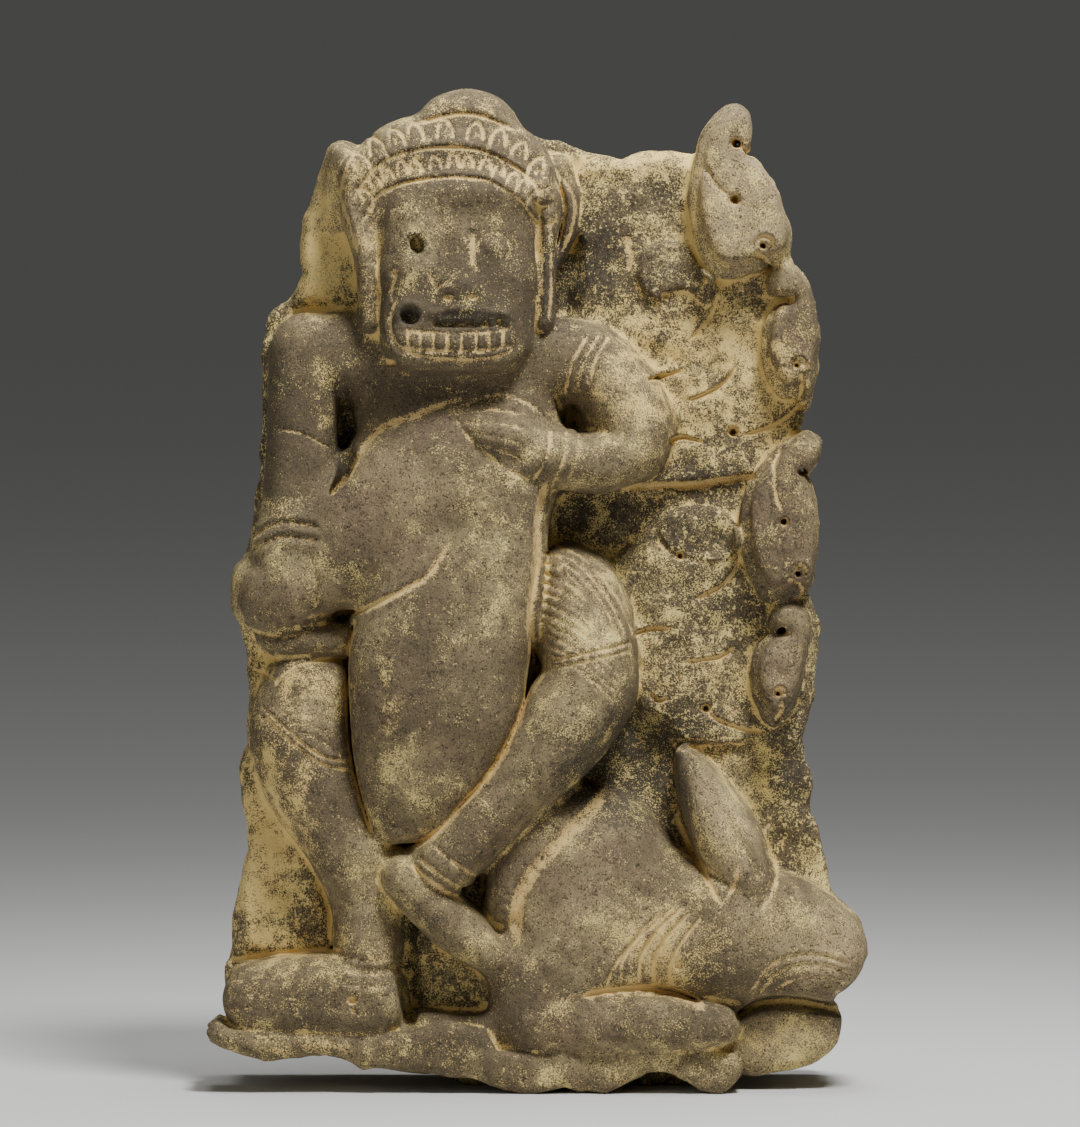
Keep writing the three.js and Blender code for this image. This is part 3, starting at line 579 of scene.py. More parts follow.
def engraveLegs():
    # belly's edge against the legs
    engrave([(-120, 312), (-125, 290), (-125.5, 262), (-123, 224), (-117, 196), (-108, 166)],
            1.7, 3.2, ends=0.1)
    engrave([(-100, 162), (-80, 164), (-62, 176), (-48, 192), (-30, 212), (-13, 243), (-4, 272)],
            1.9, 3.4, ends=0.1)
    engrave([(-52, 190), (-36, 207), (-20, 228), (-9, 250)], 1.1, 1.6)
    # kilt over the standing leg
    for i in range(7):
        share = i / 6
        engrave([(-173 + 5 * share, 260 - 24 * share), (-160, 272 - 34 * share), (-146, 276 - 42 * share),
                 (-129, 279 - 56 * share)], 1.1, 0.9, ends=0.3)
    for i in range(5):
        engrave([(-156 + 6 * i, 279), (-170 + 6 * i, 262 - 3 * i)], 1.0, 0.7)
    for shift in (0, 5.5):
        line = besideLine([(-182, 249), (-168, 237), (-153, 224), (-140, 216), (-123, 212)], 0, shift)
        lippedLine(line, (1.2, 1.7), (1.6, 1.1), dz=2.6)
    engrave([(-174, 268), (-164, 278), (-148, 284), (-126, 285)], 1.5, 1.9)
    # folds on the raised thigh
    for i in range(11):
        start = (2, 356 - 6.4 * i)
        reach = min(1, 0.35 + 0.09 * i)
        end = (12 + 44 * reach, start[1] - 4 - 32 * reach)
        middle = ((start[0] + end[0]) / 2 + 1, (start[1] + end[1]) / 2 + 4)
        engrave([start, middle, end], 1.05, 1.15, ends=0.25)
    for shift in (0, 5.5, 11):
        line = [(10 + shift * 0.4, 361 - shift), (26, 355 - shift), (41 - shift * 0.3, 342 - shift),
                (51 - shift * 0.4, 329 - shift), (59 - shift * 0.6, 314 - shift), (64 - shift, 299)]
        lippedLine(line, (1.1, 1.3), (1.5, 0.8), -2, -2)
    for shift in (0, 5):
        lippedLine([(10, 286 - shift), (30, 290 - shift), (63, 297 - shift)], (1.2, 1.5), (1.5, 1.0), dz=2.6)
    # anklets
    for z in (69, 77, 86):
        ring = [(-130, z + 2), (-110, z - 2), (-89, z + 1)]
        bead(ring, 2.2, 1.0, ends=0.2)
        engrave(besideLine(ring, 0, 3), 1.1, 0.9)
    for dx, dz in ((0, 0), (5, 5), (15, 13)):
        engrave(besideLine([(-84, 152), (-66, 138), (-48, 125)], dx, dz), 1.4, 1.9, ends=0.1)
    bead([(-74, 161), (-56, 147), (-40, 135)], 3.0, 1.2)
    engrave([(-207, 84), (-180, 88), (-150, 91), (-128, 94)], 1.6, 1.6)
    for i in range(3):
        engrave([(-206, 54 + 9 * i), (-196, 56 + 9 * i), (-186, 56 + 8 * i)], 1.2, 0.8)
    engrave([(-26, 95), (-19, 85), (-24, 77)], 1.0, 0.8)
    engrave([(-190, 277), (-172, 272)], 1.0, 2.0)
    spot(-122, 62, 2.4, 4)
    spot(-121, 55, 1.5, 2.5)


# The bull

bullShapes = {
    "body": dict(x=32, z=113, h=4, rx=62, rz=86, rh=58, square=2.5, profile=2.5),
    "haunch": dict(x=11, z=66, h=8, rx=43, rz=43, rh=53, square=3.6, profile=3.2),
    "neck": [(54, 124, 52, 0, 54), (80, 111, 51, 2, 53), (108, 101, 46, 4, 50)],
    "rump": [(10, 176, 20, 2, 50), (-10, 150, 22, 4, 50), (-18, 124, 18, 4, 48)],
    "head": [(112, 104, 46, 6, 50), (140, 104, 43, 6, 52), (165, 102, 39, 6, 51), (187, 93, 33, 4, 49)],
    "ear": [(98, 221, 6, 8, 34), (106, 205, 14, 8, 42), (117, 184, 20, 8, 47), (129, 162, 23, 8, 49),
            (142, 140, 17, 8, 50)],
    "foreleg": [(2, 46, 20, 14, 47), (40, 46, 21, 16, 50), (76, 46, 20, 18, 51), (104, 45, 18, 18, 51),
                (120, 44, 15, 18, 49)],
    "folds": [
        [(92, 124), (78, 112), (60, 96), (50, 82), (46, 70)], [(84, 121), (68, 106), (57, 88), (56, 71)],
        [(98, 124), (80, 108), (69, 90), (68, 71)], [(103, 121), (88, 106), (78, 88), (78, 71)],
        [(110, 118), (97, 102), (89, 86), (88, 70)],
    ],
}


def carveBull():
    g = bullShapes
    boulder(**g["body"], blend=8)
    boulder(**g["haunch"], blend=10)
    limb(g["neck"], blend=10, power=2.5)
    limb(g["rump"], blend=5, power=2.3)
    limb(g["head"], blend=8, power=3.4)
    limb(g["ear"], blend=4, power=2.8)
    limb(g["foreleg"], blend=7, power=3)
    # hollow of the ear, the dark gap under the jaw
    limb([(106, 214, 2.5, 64, 12), (120, 190, 4, 66, 13), (135, 166, 5, 66, 13), (147, 143, 4, 66, 12)], 5,
         work=cutStone)
    limb([(135, 50, 3, 50, 40), (152, 57, 5, 54, 40), (176, 57, 5.5, 54, 40), (206, 51, 4, 50, 40)], 3,
         work=cutStone)


def engraveBull():
    for line in bullShapes["folds"]:
        lippedLine(line, (1.3, 1.9, 0.15), (2.2, 1.3, 0.15), dx=-3.4)
    engrave([(31, 65), (48, 68.5), (70, 69.5), (92, 66), (110, 58)], 2.2, 4.5)
    engrave([(44, 196), (32, 182), (10, 160), (-5, 142), (-13, 124), (-13, 100)], 4.2, 3.2, ends=0.3)
    engrave([(90, 225), (90, 200), (93, 182), (99, 166), (110, 146), (122, 124)], 1.8, 3.5)
    engrave([(122, 124), (130, 136), (134, 152)], 1.6, 1.6)
    engrave([(152, 160), (160, 148), (156, 132), (148, 122)], 1.8, 1.4)
    for line in ([(143, 68), (150, 80), (164, 90), (186, 92), (208, 85)],
                 [(149, 67), (158, 78), (172, 85), (190, 85), (209, 78)],
                 [(156, 66), (166, 73), (180, 77), (196, 75), (208, 70)]):
        lippedLine(line, (1.2, 1.3), (1.5, 0.8), dz=2.4)
    for x in (174, 182, 190, 198):
        engrave([(x, 84), (x + 2, 77)], 1.1, 1.2, ends=0)
    bead([(136, 59), (154, 66), (176, 66), (200, 60)], 2.6, 2.0)
    for x, z in ((192, 71), (200, 66)):
        spot(x, z, 1.5, 2)
    spot(93.7, 84.5, 1.5, 4, tall=1.6)
    for x in (100, 110, 120):
        engrave([(x, 35), (x + 8, 31)], 1.2, 0.8)


# The leaf border and the low scrolls

leafBorder = {
    "front": 36, "behind": -8,  # mm from the ground plane
    "rim": 13,  # how far a leaf's rim lies behind its face
    "scrollHeight": 4.5,
    "leaves": [
        dict(outline=[(133, 651), (126, 650), (118, 644), (111, 634.5), (107, 622.5), (104.6, 610),
                      (101.7, 595), (101.4, 583), (102.5, 570), (106, 558), (111, 546), (117, 538.5),
                      (123, 536), (133, 536.5), (142, 540), (154, 544), (166, 547.5), (168.4, 561),
                      (167.6, 566.5), (163, 578), (159.6, 588.5), (155.3, 598), (148.5, 607), (141.7, 614),
                      (138, 618), (139, 626), (140, 634.5), (139.7, 641), (137.4, 648)],
             pivot=(152, 616), inset=0.13, rise=3, pits=[(132, 625, 3.2, 9), (131.3, 588, 3.2, 9)],
             lines=[[(132, 625), (137, 621), (142, 617)], [(144, 553), (150, 550), (154, 546), (155, 541)],
                    [(112, 609), (118, 598), (127, 590)]], eye=(151, 559, 8)),
        dict(outline=[(160, 546), (154.5, 537), (153.6, 529), (157, 526), (168, 525.5), (169.5, 522),
                      (168, 518.5), (159, 517), (155, 512), (151, 503), (149.7, 493), (150, 481),
                      (153, 471), (156, 464), (162, 457.5), (172, 457), (179, 449), (182.6, 459),
                      (184, 473), (185.6, 485), (185.6, 497), (184, 510), (181.7, 522), (177.5, 534),
                      (172, 543), (166, 547)],
             pivot=(183, 522), inset=0.15, rise=-3, pits=[], eye=(173.5, 480, 6.5),
             lines=[[(174.5, 475), (176.5, 466), (174, 455)]]),
        dict(outline=[(179, 434.8), (186, 431), (187.8, 427), (185.6, 417), (180, 411), (175.5, 409),
                      (178, 405.5), (183.7, 391), (186, 374), (186, 358), (183.7, 341), (181, 330),
                      (172, 326), (162, 323), (151, 323), (144, 334), (139, 346.6), (136, 361),
                      (135.4, 378), (138, 393), (144, 406), (153, 417), (160.5, 425), (170, 430.5)],
             pivot=(180, 400), inset=0.14, rise=0, pits=[(176, 409, 2.6, 7), (164, 376, 2.6, 8)],
             eye=(174.5, 343, 7),
             lines=[[(163, 424), (158, 415), (157.5, 404), (158.5, 393), (163, 381)],
                    [(166, 338), (172, 336), (176, 332), (177, 327)]]),
        dict(outline=[(170, 323), (162, 321), (156, 315), (155.3, 308), (158, 305), (167, 304.5),
                      (164, 301.5), (155, 300), (146, 291), (142.5, 278), (143, 265), (146, 254),
                      (151, 244.5), (157, 240), (166, 244.5), (172, 259), (177, 278), (180, 296),
                      (181, 308), (178, 317)],
             pivot=(177, 296), inset=0.15, rise=-2, pits=[(163, 304, 2.4, 6)], eye=(161.5, 263.5, 5.5),
             lines=[[(163, 259), (162, 250), (158, 243)]]),
    ],
    "scrolls": [  # low raised commas, each with the pit of its hook
        ([(82, 560), (72, 555), (68, 543), (70, 531), (78, 523.5), (86, 522.5), (88, 527), (100, 529),
          (113, 520), (119, 526), (118, 536), (108, 545), (101, 556), (92, 560)], (85.8, 524.5, 2.2, 5)),
        ([(98, 352), (90, 356), (83, 364), (83, 374), (90, 381), (100, 384.5), (115, 384), (127, 379),
          (134, 370), (134, 358), (128, 352), (118, 349), (106, 351)], (95.8, 352.5, 2.6, 6)),
    ],
    "lines": [
        [(73, 469), (84, 471.5), (97, 475)], [(133, 478), (125, 467), (110, 458.5), (100, 455)],
        [(137, 432), (153, 437), (166, 444), (179, 455)], [(88, 429), (98, 431), (112, 427)],
        [(119.5, 526), (118, 517), (113, 507), (100, 493.5)],
        [(135.5, 352), (131, 341), (122, 332), (106, 323)],
        [(65, 301), (78, 304), (89, 304)], [(98, 282), (111, 283.5), (123, 286), (132, 292)],
        [(114, 249), (123, 242.5), (138, 237.3), (153, 236)], [(75, 262), (81, 257), (87, 258)],
        [(58, 562), (63, 552), (60, 540)],
    ],
}


def carveBorder():
    g = leafBorder
    for leaf in g["leaves"]:
        front = g["front"] + leaf["rise"]
        px, pz = leaf["pivot"]
        keep = 1 - leaf["inset"]
        top = [(px + (x - px) * keep, pz + (z - pz) * keep) for x, z in leaf["outline"]]
        plate(leaf["outline"], g["behind"], front - g["rim"], wear=6, blend=3)
        plate(top, g["behind"], front, wear=7, blend=8)


def engraveBorder():
    g = leafBorder
    for leaf in g["leaves"]:
        for pit in leaf["pits"]:
            spot(*pit)
        for line in leaf["lines"]:
            engrave(line, 1.6, 2.2, ends=0.2)
        x, z, size = leaf["eye"]
        bead(arcPoints(x, z, size, -50, 175), 1.7, 1.7, ends=0.1)
        engrave(arcPoints(x, z, size * 0.6, -40, 170), 1.5, 2.2, ends=0.1)
        spot(x - 1.2, z - 1, 2.2, 6)
    for outline, pit in g["scrolls"]:
        points = curveThrough(outline + outline[:1], 5)
        where, x, z, _ = window(60, 145, points[:, 1].min() - 6, points[:, 1].max() + 6)
        side = insideOutline(x, z, points)
        ridgeMap[where[:2]] = np.maximum(ridgeMap[where[:2]], g["scrollHeight"] * smoothStep(0.5 - side / 5))
        spot(*pit)
    for line in g["lines"]:
        lippedLine(line, (1.5, 3.0, 0.25), (1.5, 1.4, 0.25), -0.6, 2.2)
    engrave([(57, 396), (75, 398.5), (105, 399.5), (125, 402), (143, 405)], 2.0, 7, ends=0.15)
    spot(131, 434.5, 2.8, 8)
    spot(113, 251, 2.6, 8)
    spot(60, 561, 3.5, 2)
    for z0 in (231, 226):
        engrave([(50 + (z0 - 226) * 2, z0), (90, z0 - 1), (140, z0 + 2)], 1.0, 1.2)


# Wear, and the skin of the stone

surfaceWear = {
    "figureSwell": 0.22,  # mm, on the smooth figures
    "groundSwell": 1.0, "groundGrain": 0.42,  # on the field behind and the broken edges
    "swellSize": 9, "grainSize": 4.2,
}


def wearStone():
    w = surfaceWear
    x, z, h = gridX[:, None, None], gridZ[None, :, None], gridH[None, None, :]
    facing = between(h, -12, -2)  # lines are cut into the front alone
    field[...] += (cutMap - ridgeMap)[..., None] * facing
    rough = 1 - between(h, 8, 24)  # 1 on the ground plane and the sides, 0 on the figures
    rough = np.maximum(rough, (1 - between(z, 24, 36)) * (1 + 0 * x))  # and 1 on the base
    field[...] += swell(w["swellSize"]) * (w["figureSwell"] + (w["groundSwell"] - w["figureSwell"]) * rough)
    field[...] += swell(w["grainSize"]) * w["groundGrain"] * rough * between(h, -30, -10)
    field[...] = np.maximum(field, -(z + 0 * x + 0 * h))  # the foot is flat on the floor


# One point in each cell that the skin passes through, joined across the cell faces it cuts.
def skinOf(values):
    below = values < 0
    corners = list(np.ndindex(2, 2, 2))
    counts = sum(below[i:i - 1 or None, j:j - 1 or None, k:k - 1 or None].astype(np.int8)
                 for i, j, k in corners)
    cells = np.argwhere((counts > 0) & (counts < 8))
    number = np.full(counts.shape, -1, dtype=np.int32)
    number[tuple(cells.T)] = np.arange(len(cells))
    total = np.zeros((len(cells), 3), dtype=np.float64)
    hits = np.zeros(len(cells))
    corner = {c: values[tuple((cells + c).T)].astype(np.float64) for c in corners}
    for a in corners:
        for axis in range(3):
            if a[axis]:
                continue
            b = tuple(1 if n == axis else a[n] for n in range(3))
            va, vb = corner[a], corner[b]
            cut = (va < 0) != (vb < 0)
            t = np.where(cut, va / np.where(cut, va - vb, 1), 0)
            for n in range(3):
                total[:, n] += np.where(cut, a[n] + (t if n == axis else 0), 0)
            hits += cut
    points = cells + total / hits[:, None]
    quads = []
    for axis in range(3):
        first = [slice(1, -1)] * 3
        second = [slice(1, -1)] * 3
        first[axis], second[axis] = slice(0, -1), slice(1, None)
        va, vb = below[tuple(first)], below[tuple(second)]
        others = [n for n in range(3) if n != axis]
        for flip in (False, True):
            edges = np.argwhere((va & ~vb) if not flip else (~va & vb))
            edges += [0 if n == axis else 1 for n in range(3)]
            around = []
            for du, dv in ((0, 0), (1, 0), (1, 1), (0, 1)):
                cell = edges.copy()
                cell[:, others[0]] -= du
                cell[:, others[1]] -= dv
                around.append(number[tuple(cell.T)])
            quad = np.stack(around, axis=1)
            quads.append(quad[:, ::-1] if flip != (axis == 1) else quad)
    return points, np.vstack(quads)


def meshFrom(name, points, faces):
    mesh = bpy.data.meshes.new(name)
    mesh.vertices.add(len(points))
    mesh.vertices.foreach_set("co", points.astype(np.float32).ravel())
    mesh.loops.add(faces.size)
    mesh.loops.foreach_set("vertex_index", faces.astype(np.int32).ravel())
    mesh.polygons.add(len(faces))
    mesh.polygons.foreach_set("loop_start", np.arange(0, faces.size, faces.shape[1], dtype=np.int32))
    mesh.update(calc_edges=True)
    return mesh


def toFrame(points):
    step = stoneBlock["step"]
    x = gridX[0] + points[:, 0] * step
    z = gridZ[0] + points[:, 1] * step
    y = stoneBlock["groundY"] - (gridH[0] + points[:, 2] * step)
    return np.stack([x, y, z], axis=1) * 0.001


def vertexPlaces(mesh):
    place = np.empty(len(mesh.vertices) * 3, dtype=np.float32)
    mesh.vertices.foreach_get("co", place)
    return place.reshape(-1, 3)


# The same places as x, z and h, in millimetres.
def gridPlaces(mesh):
    place = vertexPlaces(mesh) * 1000
    return np.stack([place[:, 0], place[:, 2], stoneBlock["groundY"] - place[:, 1]], axis=1)


# A vertex group that is light where fine lines are cut, so that more of their faces are kept.
def plainPlaces(panel):
    inGrid = gridPlaces(panel.data)
    carved = soften(np.clip(np.maximum(cutMap, ridgeMap), 0, 1), 1.5)
    busy = sample(np.clip(carved * 1.6, 0, 1), inGrid[:, :2]) * between(inGrid[:, 2], -4, 4)
    steps = 20
    level = np.round((1 - 0.85 * busy) * steps).astype(int)
    group = panel.vertex_groups.new(name="plain")
    for step in np.unique(level):
        group.add(np.flatnonzero(level == step).tolist(), float(step) / steps, "REPLACE")
    return group


def meshStone():
    points, quads = skinOf(field)
    rough = meshFrom("carvedSkin", toFrame(points), quads)
    panel = bpy.data.objects.new("relief_panel_stone", rough)
    bpy.context.scene.collection.objects.link(panel)
    lighter = panel.modifiers.new("lighter", "DECIMATE")
    lighter.ratio = min(1, stoneBlock["triangles"] / (2 * len(quads)))
    lighter.use_collapse_triangulate = True
    lighter.vertex_group = plainPlaces(panel).name
    lighter.vertex_group_factor = stoneBlock["keepDetail"]
    graph = bpy.context.evaluated_depsgraph_get()
    mesh = bpy.data.meshes.new_from_object(panel.evaluated_get(graph))
    panel.modifiers.clear()
    panel.vertex_groups.clear()
    panel.data = mesh
    mesh.name = "relief_panel_stone"
    mesh.validate()
    bpy.data.meshes.remove(rough)
    mesh.shade_smooth()
    print("skin", len(quads), "quads, kept", len(mesh.polygons), "faces")
    return panel


# The last fraction of a millimetre: the stone fills the solid's box and no more.
def fitToBox(mesh):
    place = vertexPlaces(mesh)
    for n in range(3):
        low, high = place[:, n].min(), place[:, n].max()
        scale = (cadHigh[n] - cadLow[n]) / (high - low)
        place[:, n] = cadLow[n] + (place[:, n] - low) * scale
        print("fitted", "xyz"[n], round(float(scale), 4))
    mesh.vertices.foreach_set("co", place.ravel())
    mesh.update()


# Where crust, soot, wear and painted shade lie

def soften(volume, radius):
    cells = max(1, int(round(radius / stoneBlock["step"])))
    for axis in range(volume.ndim):
        pad = [(cells + 1, cells) if n == axis else (0, 0) for n in range(volume.ndim)]
        total = np.cumsum(np.pad(volume, pad, mode="edge"), axis=axis, dtype=np.float32)
        upper = np.take(total, np.arange(2 * cells + 1, total.shape[axis]), axis=axis)
        lower = np.take(total, np.arange(0, total.shape[axis] - 2 * cells - 1), axis=axis)
        volume = (upper - lower) / (2 * cells + 1)
    return volume


def sample(volume, place):
    grids = (gridX, gridZ, gridH)[:place.shape[1]]
    at = [np.clip((place[:, n] - grid[0]) / stoneBlock["step"], 0, len(grid) - 1.001)
          for n, grid in enumerate(grids)]
    base = [a.astype(int) for a in at]
    part = [a - b for a, b in zip(at, base)]
    value = 0
    for corner in np.ndindex(*(2,) * len(grids)):
        weight = 1
        for n, c in enumerate(corner):
            weight = weight * (part[n] if c else 1 - part[n])
        value = value + weight * volume[tuple(b + c for b, c in zip(base, corner))]
    return value


stains = {  # patches as x, z, half width, half height, strength
    "ochre": [
        (60, 608, 60, 14, 1.0), (100, 580, 12, 40, 0.9), (120, 500, 60, 60, 0.62), (95, 450, 50, 40, 0.55),
        (160, 440, 30, 60, 0.6), (100, 372, 60, 30, 0.5), (60, 385, 30, 10, 0.4), (-178, 160, 28, 80, 1.08),
        (-175, 200, 25, 40, 0.7), (-150, 95, 50, 20, 0.8), (150, 260, 50, 40, 0.35), (80, 100, 32, 34, 1.0),
        (60, 465, 30, 40, 0.5), (-20, 385, 28, 25, 0.5), (-90, 608, 40, 16, 0.7), (-150, 32, 60, 10, 0.6),
        (-60, 80, 30, 30, 0.6), (160, 120, 50, 30, 0.3), (40, 330, 26, 30, 0.4), (-145, 270, 40, 24, 0.7),
        (-142, 560, 20, 55, 1.12), (30, 195, 30, 8, 0.6), (-45, 647, 30, 7, 0.7), (95, 280, 40, 30, 0.4),
        (-185, 280, 12, 20, 0.6), (-110, 545, 8, 60, 0.45), (7, 545, 7, 45, 0.6), (60, 68, 46, 5, 1.0),
        (110, 150, 12, 40, 0.7), (-60, 170, 30, 8, 0.5), (20, 560, 30, 12, 0.5), (165, 35, 36, 20, 0.6),
        (60, 610, 66, 12, 0.3), (150, 262, 30, 20, 0.35), (-150, 535, 12, 30, 0.4), (82, 97, 24, 24, 1.0),
        (95, 505, 22, 26, 0.6), (10, 10, 120, 10, 0.4), (-60, 345, 16, 8, 0.5), (-98, 250, 7, 70, 0.6),
        (-150, 460, 12, 14, 0.5), (55, 480, 16, 20, 0.5),
    ],
    # dark patches of soot, with painted shade in the eye, the mouth and the gap beside the arm
    "sootAndShade": [
        (45, 380, 40, 16, 1.0), (52, 205, 42, 34, 1.3), (16, 535, 14, 34, 0.9), (120, 325, 55, 22, 0.5),
        (85, 240, 60, 16, 0.7), (-128, 430, 9, 40, 0.8), (-165, 370, 25, 14, 0.4), (170, 215, 20, 40, 0.65),
        (165, 12, 40, 8, 0.5), (-95, 330, 8, 8, 0.3), (-84, 80, 12, 40, 0.6), (-170, 480, 14, 40, 0.35),
        (84, 592, 16, 14, 0.9), (100, 410, 40, 10, 0.5), (120, 170, 12, 30, 0.3), (130, 395, 30, 14, 0.6),
        (40, 545, 26, 40, 0.75), (-120, 300, 12, 18, 0.4), (85, 540, 20, 20, 0.45), (140, 525, 16, 16, 0.5),
        # the patches at the eye and the mouth's corner, and the open mouth below, are painted shade
        (150, 285, 10, 40, 0.4), (105, 365, 24, 18, 0.45), (-80, 560, 6, 7, 1.6), (-85, 511, 7, 7, 1.3),
        (-50, 511, 34, 6, 0.8),
    ],
    "rose": [
        (-95, 385, 45, 40, 0.8), (135, 590, 32, 45, 0.35), (162, 375, 26, 40, 0.7), (160, 275, 24, 35, 0.6),
        (195, 95, 28, 30, 0.6), (20, 140, 50, 50, 0.5), (168, 495, 20, 28, 0.6), (-65, 260, 50, 60, 0.35),
        (20, 45, 60, 20, 0.7), (-60, 440, 30, 16, 0.5), (-170, 330, 24, 24, 0.5), (-25, 180, 40, 40, 0.3),
    ],
    "bright": [  # worn, handled tops
        (195, 95, 24, 26, 1.0), (150, 110, 30, 20, 0.6), (126, 180, 20, 45, 0.9), (132, 590, 34, 55, 1.0),
        (80, 98, 28, 26, 0.7), (64, 460, 20, 22, 0.45), (165, 35, 34, 18, 0.9), (-20, 348, 26, 22, 0.2),
        (30, 325, 22, 28, 0.35), (-145, 252, 24, 16, 0.5), (25, 245, 18, 24, 0.5), (-110, 122, 16, 16, 0.2),
        (-70, 560, 22, 20, 0.3), (-75, 500, 20, 10, 0.3), (-118, 570, 10, 30, 0.4), (-140, 555, 12, 28, 1.0),
        (18, 170, 20, 14, 0.5), (-140, 555, 12, 30, 0.5), (160, 280, 14, 20, 0.3), (-85, 395, 26, 20, 0.4),
        (25, 110, 30, 26, 0.4), (60, 408, 26, 12, 0.35), (-172, 325, 24, 24, 0.2), (95, 610, 60, 14, 0.4),
        (160, 280, 18, 24, 0.3),
    ],
    "dark": [  # stained brown
        (-50, 520, 46, 18, 0.9), (-20, 530, 20, 34, 0.9), (-50, 490, 50, 12, 0.6), (-160, 440, 26, 46, 0.75),
        (-135, 188, 22, 34, 0.35), (-168, 225, 22, 26, 0.6), (160, 372, 24, 36, 0.55), (-160, 62, 50, 22, 0.4),
        (0, 62, 34, 30, 0.4), (110, 85, 20, 26, 0.8), (84, 46, 50, 14, 0.5), (-55, 36, 30, 12, 0.8),
        (-170, 328, 26, 28, 0.1), (-66, 432, 46, 22, 0.5), (-60, 464, 60, 14, 0.6), (98, 195, 8, 34, 0.4),
        (172, 195, 28, 40, 0.4), (50, 412, 24, 10, 0.5), (-20, 175, 36, 26, 0.2), (-130, 495, 30, 24, 0.35),
        (170, 500, 16, 40, 0.4), (160, 275, 18, 30, 0.35), (45, 575, 30, 30, 0.4), (-175, 400, 14, 40, 0.5),
        (150, 76, 30, 8, 0.3), (-50, 548, 40, 16, 0.6), (-50, 520, 42, 18, 1.6), (-60, 585, 40, 20, 0.4),
        (-110, 470, 20, 20, 0.3), (-75, 300, 14, 40, 0.5), (-52, 612, 60, 20, 1.1), (-60, 645, 30, 10, 0.9),
        (-16, 530, 22, 30, 0.9), (-110, 125, 14, 16, 0.4), (95, 300, 40, 40, 0.3), (25, 240, 20, 20, 0.3),
        (-5, 560, 26, 30, 0.4), (-108, 600, 14, 20, 0.3),
    ],
}


def stainMap(patches):
    x, z = gridX[:, None], gridZ[None, :]
    amount = np.zeros_like(cutMap)
    for px, pz, width, height, strength in patches:
        patch = strength * np.exp(-((x - px) / width) ** 2 - ((z - pz) / height) ** 2)
        amount = amount + patch * (1 - amount)
    return amount


markSizes = {  # mm: how far round a place is felt for hollows, and what counts as full
    "fine": 2.8, "crevice": 4.5, "shelter": 9, "fullRelief": 92, "fullLine": 1.4, "fullRidge": 2.5,
}


def markStone(panel):
    m = markSizes
    mesh = panel.data
    inGrid = gridPlaces(mesh)
    solidity = np.clip(0.5 - field / (2 * stoneBlock["step"]), 0, 1)
    # shelter and crevice also serve the painted shade: the stone is darkened where they are high
    softened = {name: soften(solidity, m[name]) for name in ("fine", "crevice", "shelter")}
    softened["shelter"] = soften(softened["shelter"], m["shelter"])
    # above 0 in a hollow, below 0 on an edge: at the scale of cut lines, forms and figures
    values = {name: (sample(volume, inGrid) - 0.5) * 2 for name, volume in softened.items()}
    values["relief"] = np.clip(inGrid[:, 2] / m["fullRelief"], -1, 1)
    atFront, nearFront = between(inGrid[:, 2], -12, -2), between(inGrid[:, 2], -40, -10)
    for name, patches in stains.items():
        values[name] = sample(stainMap(patches), inGrid[:, :2]) * nearFront
    for name, depths, full in (("line", cutMap, m["fullLine"]), ("raised", ridgeMap, m["fullRidge"])):
        values[name] = sample(np.clip(depths / full, 0, 1), inGrid[:, :2]) * atFront
    for name, value in values.items():
        layer = mesh.attributes.new(name, "FLOAT", "POINT")
        layer.data.foreach_set("value", value.astype(np.float32))
    print("marks", {k: (round(float(v.min()), 2), round(float(v.max()), 2)) for k, v in values.items()})


# The stone's finish

stoneFinish = {
    "body": (0.140, 0.107, 0.060, 1),  # taupe grey-brown rock
    "light": (0.290, 0.229, 0.118, 1),  # where it is worn paler
    "deep": (0.042, 0.033, 0.022, 1),  # its dark grains and pores, and painted shade deep in the crevices
    "fleck": (0.80, 0.635, 0.240, 1),  # pale dust caught in the pores
    "ochre": (0.76, 0.56, 0.205, 1),  # crust in the hollows and on the ground
    # dark of soot, and of painted shade in hollows and holes
    "honey": (0.74, 0.53, 0.215, 1),  # the same crust, thick in the cut lines
    "sootAndShade": (0.046, 0.040, 0.031, 1),
    "rose": (0.250, 0.163, 0.106, 1),
    "pale": (0.46, 0.345, 0.195, 1),  # worn, handled tops
    "grainSize": 0.0012, "cloudSize": 0.055, "mottleSize": 0.011,  # metres
    "wornPale": 0.35, "ridgePlain": 0.7, "grainStrength": 0.8, "poreStrength": 0.8,
    "roughness": 0.88, "roughnessSpread": 0.08, "specular": 0.25,
    "bumpStrength": 0.6, "bumpDistance": 0.0011,
}

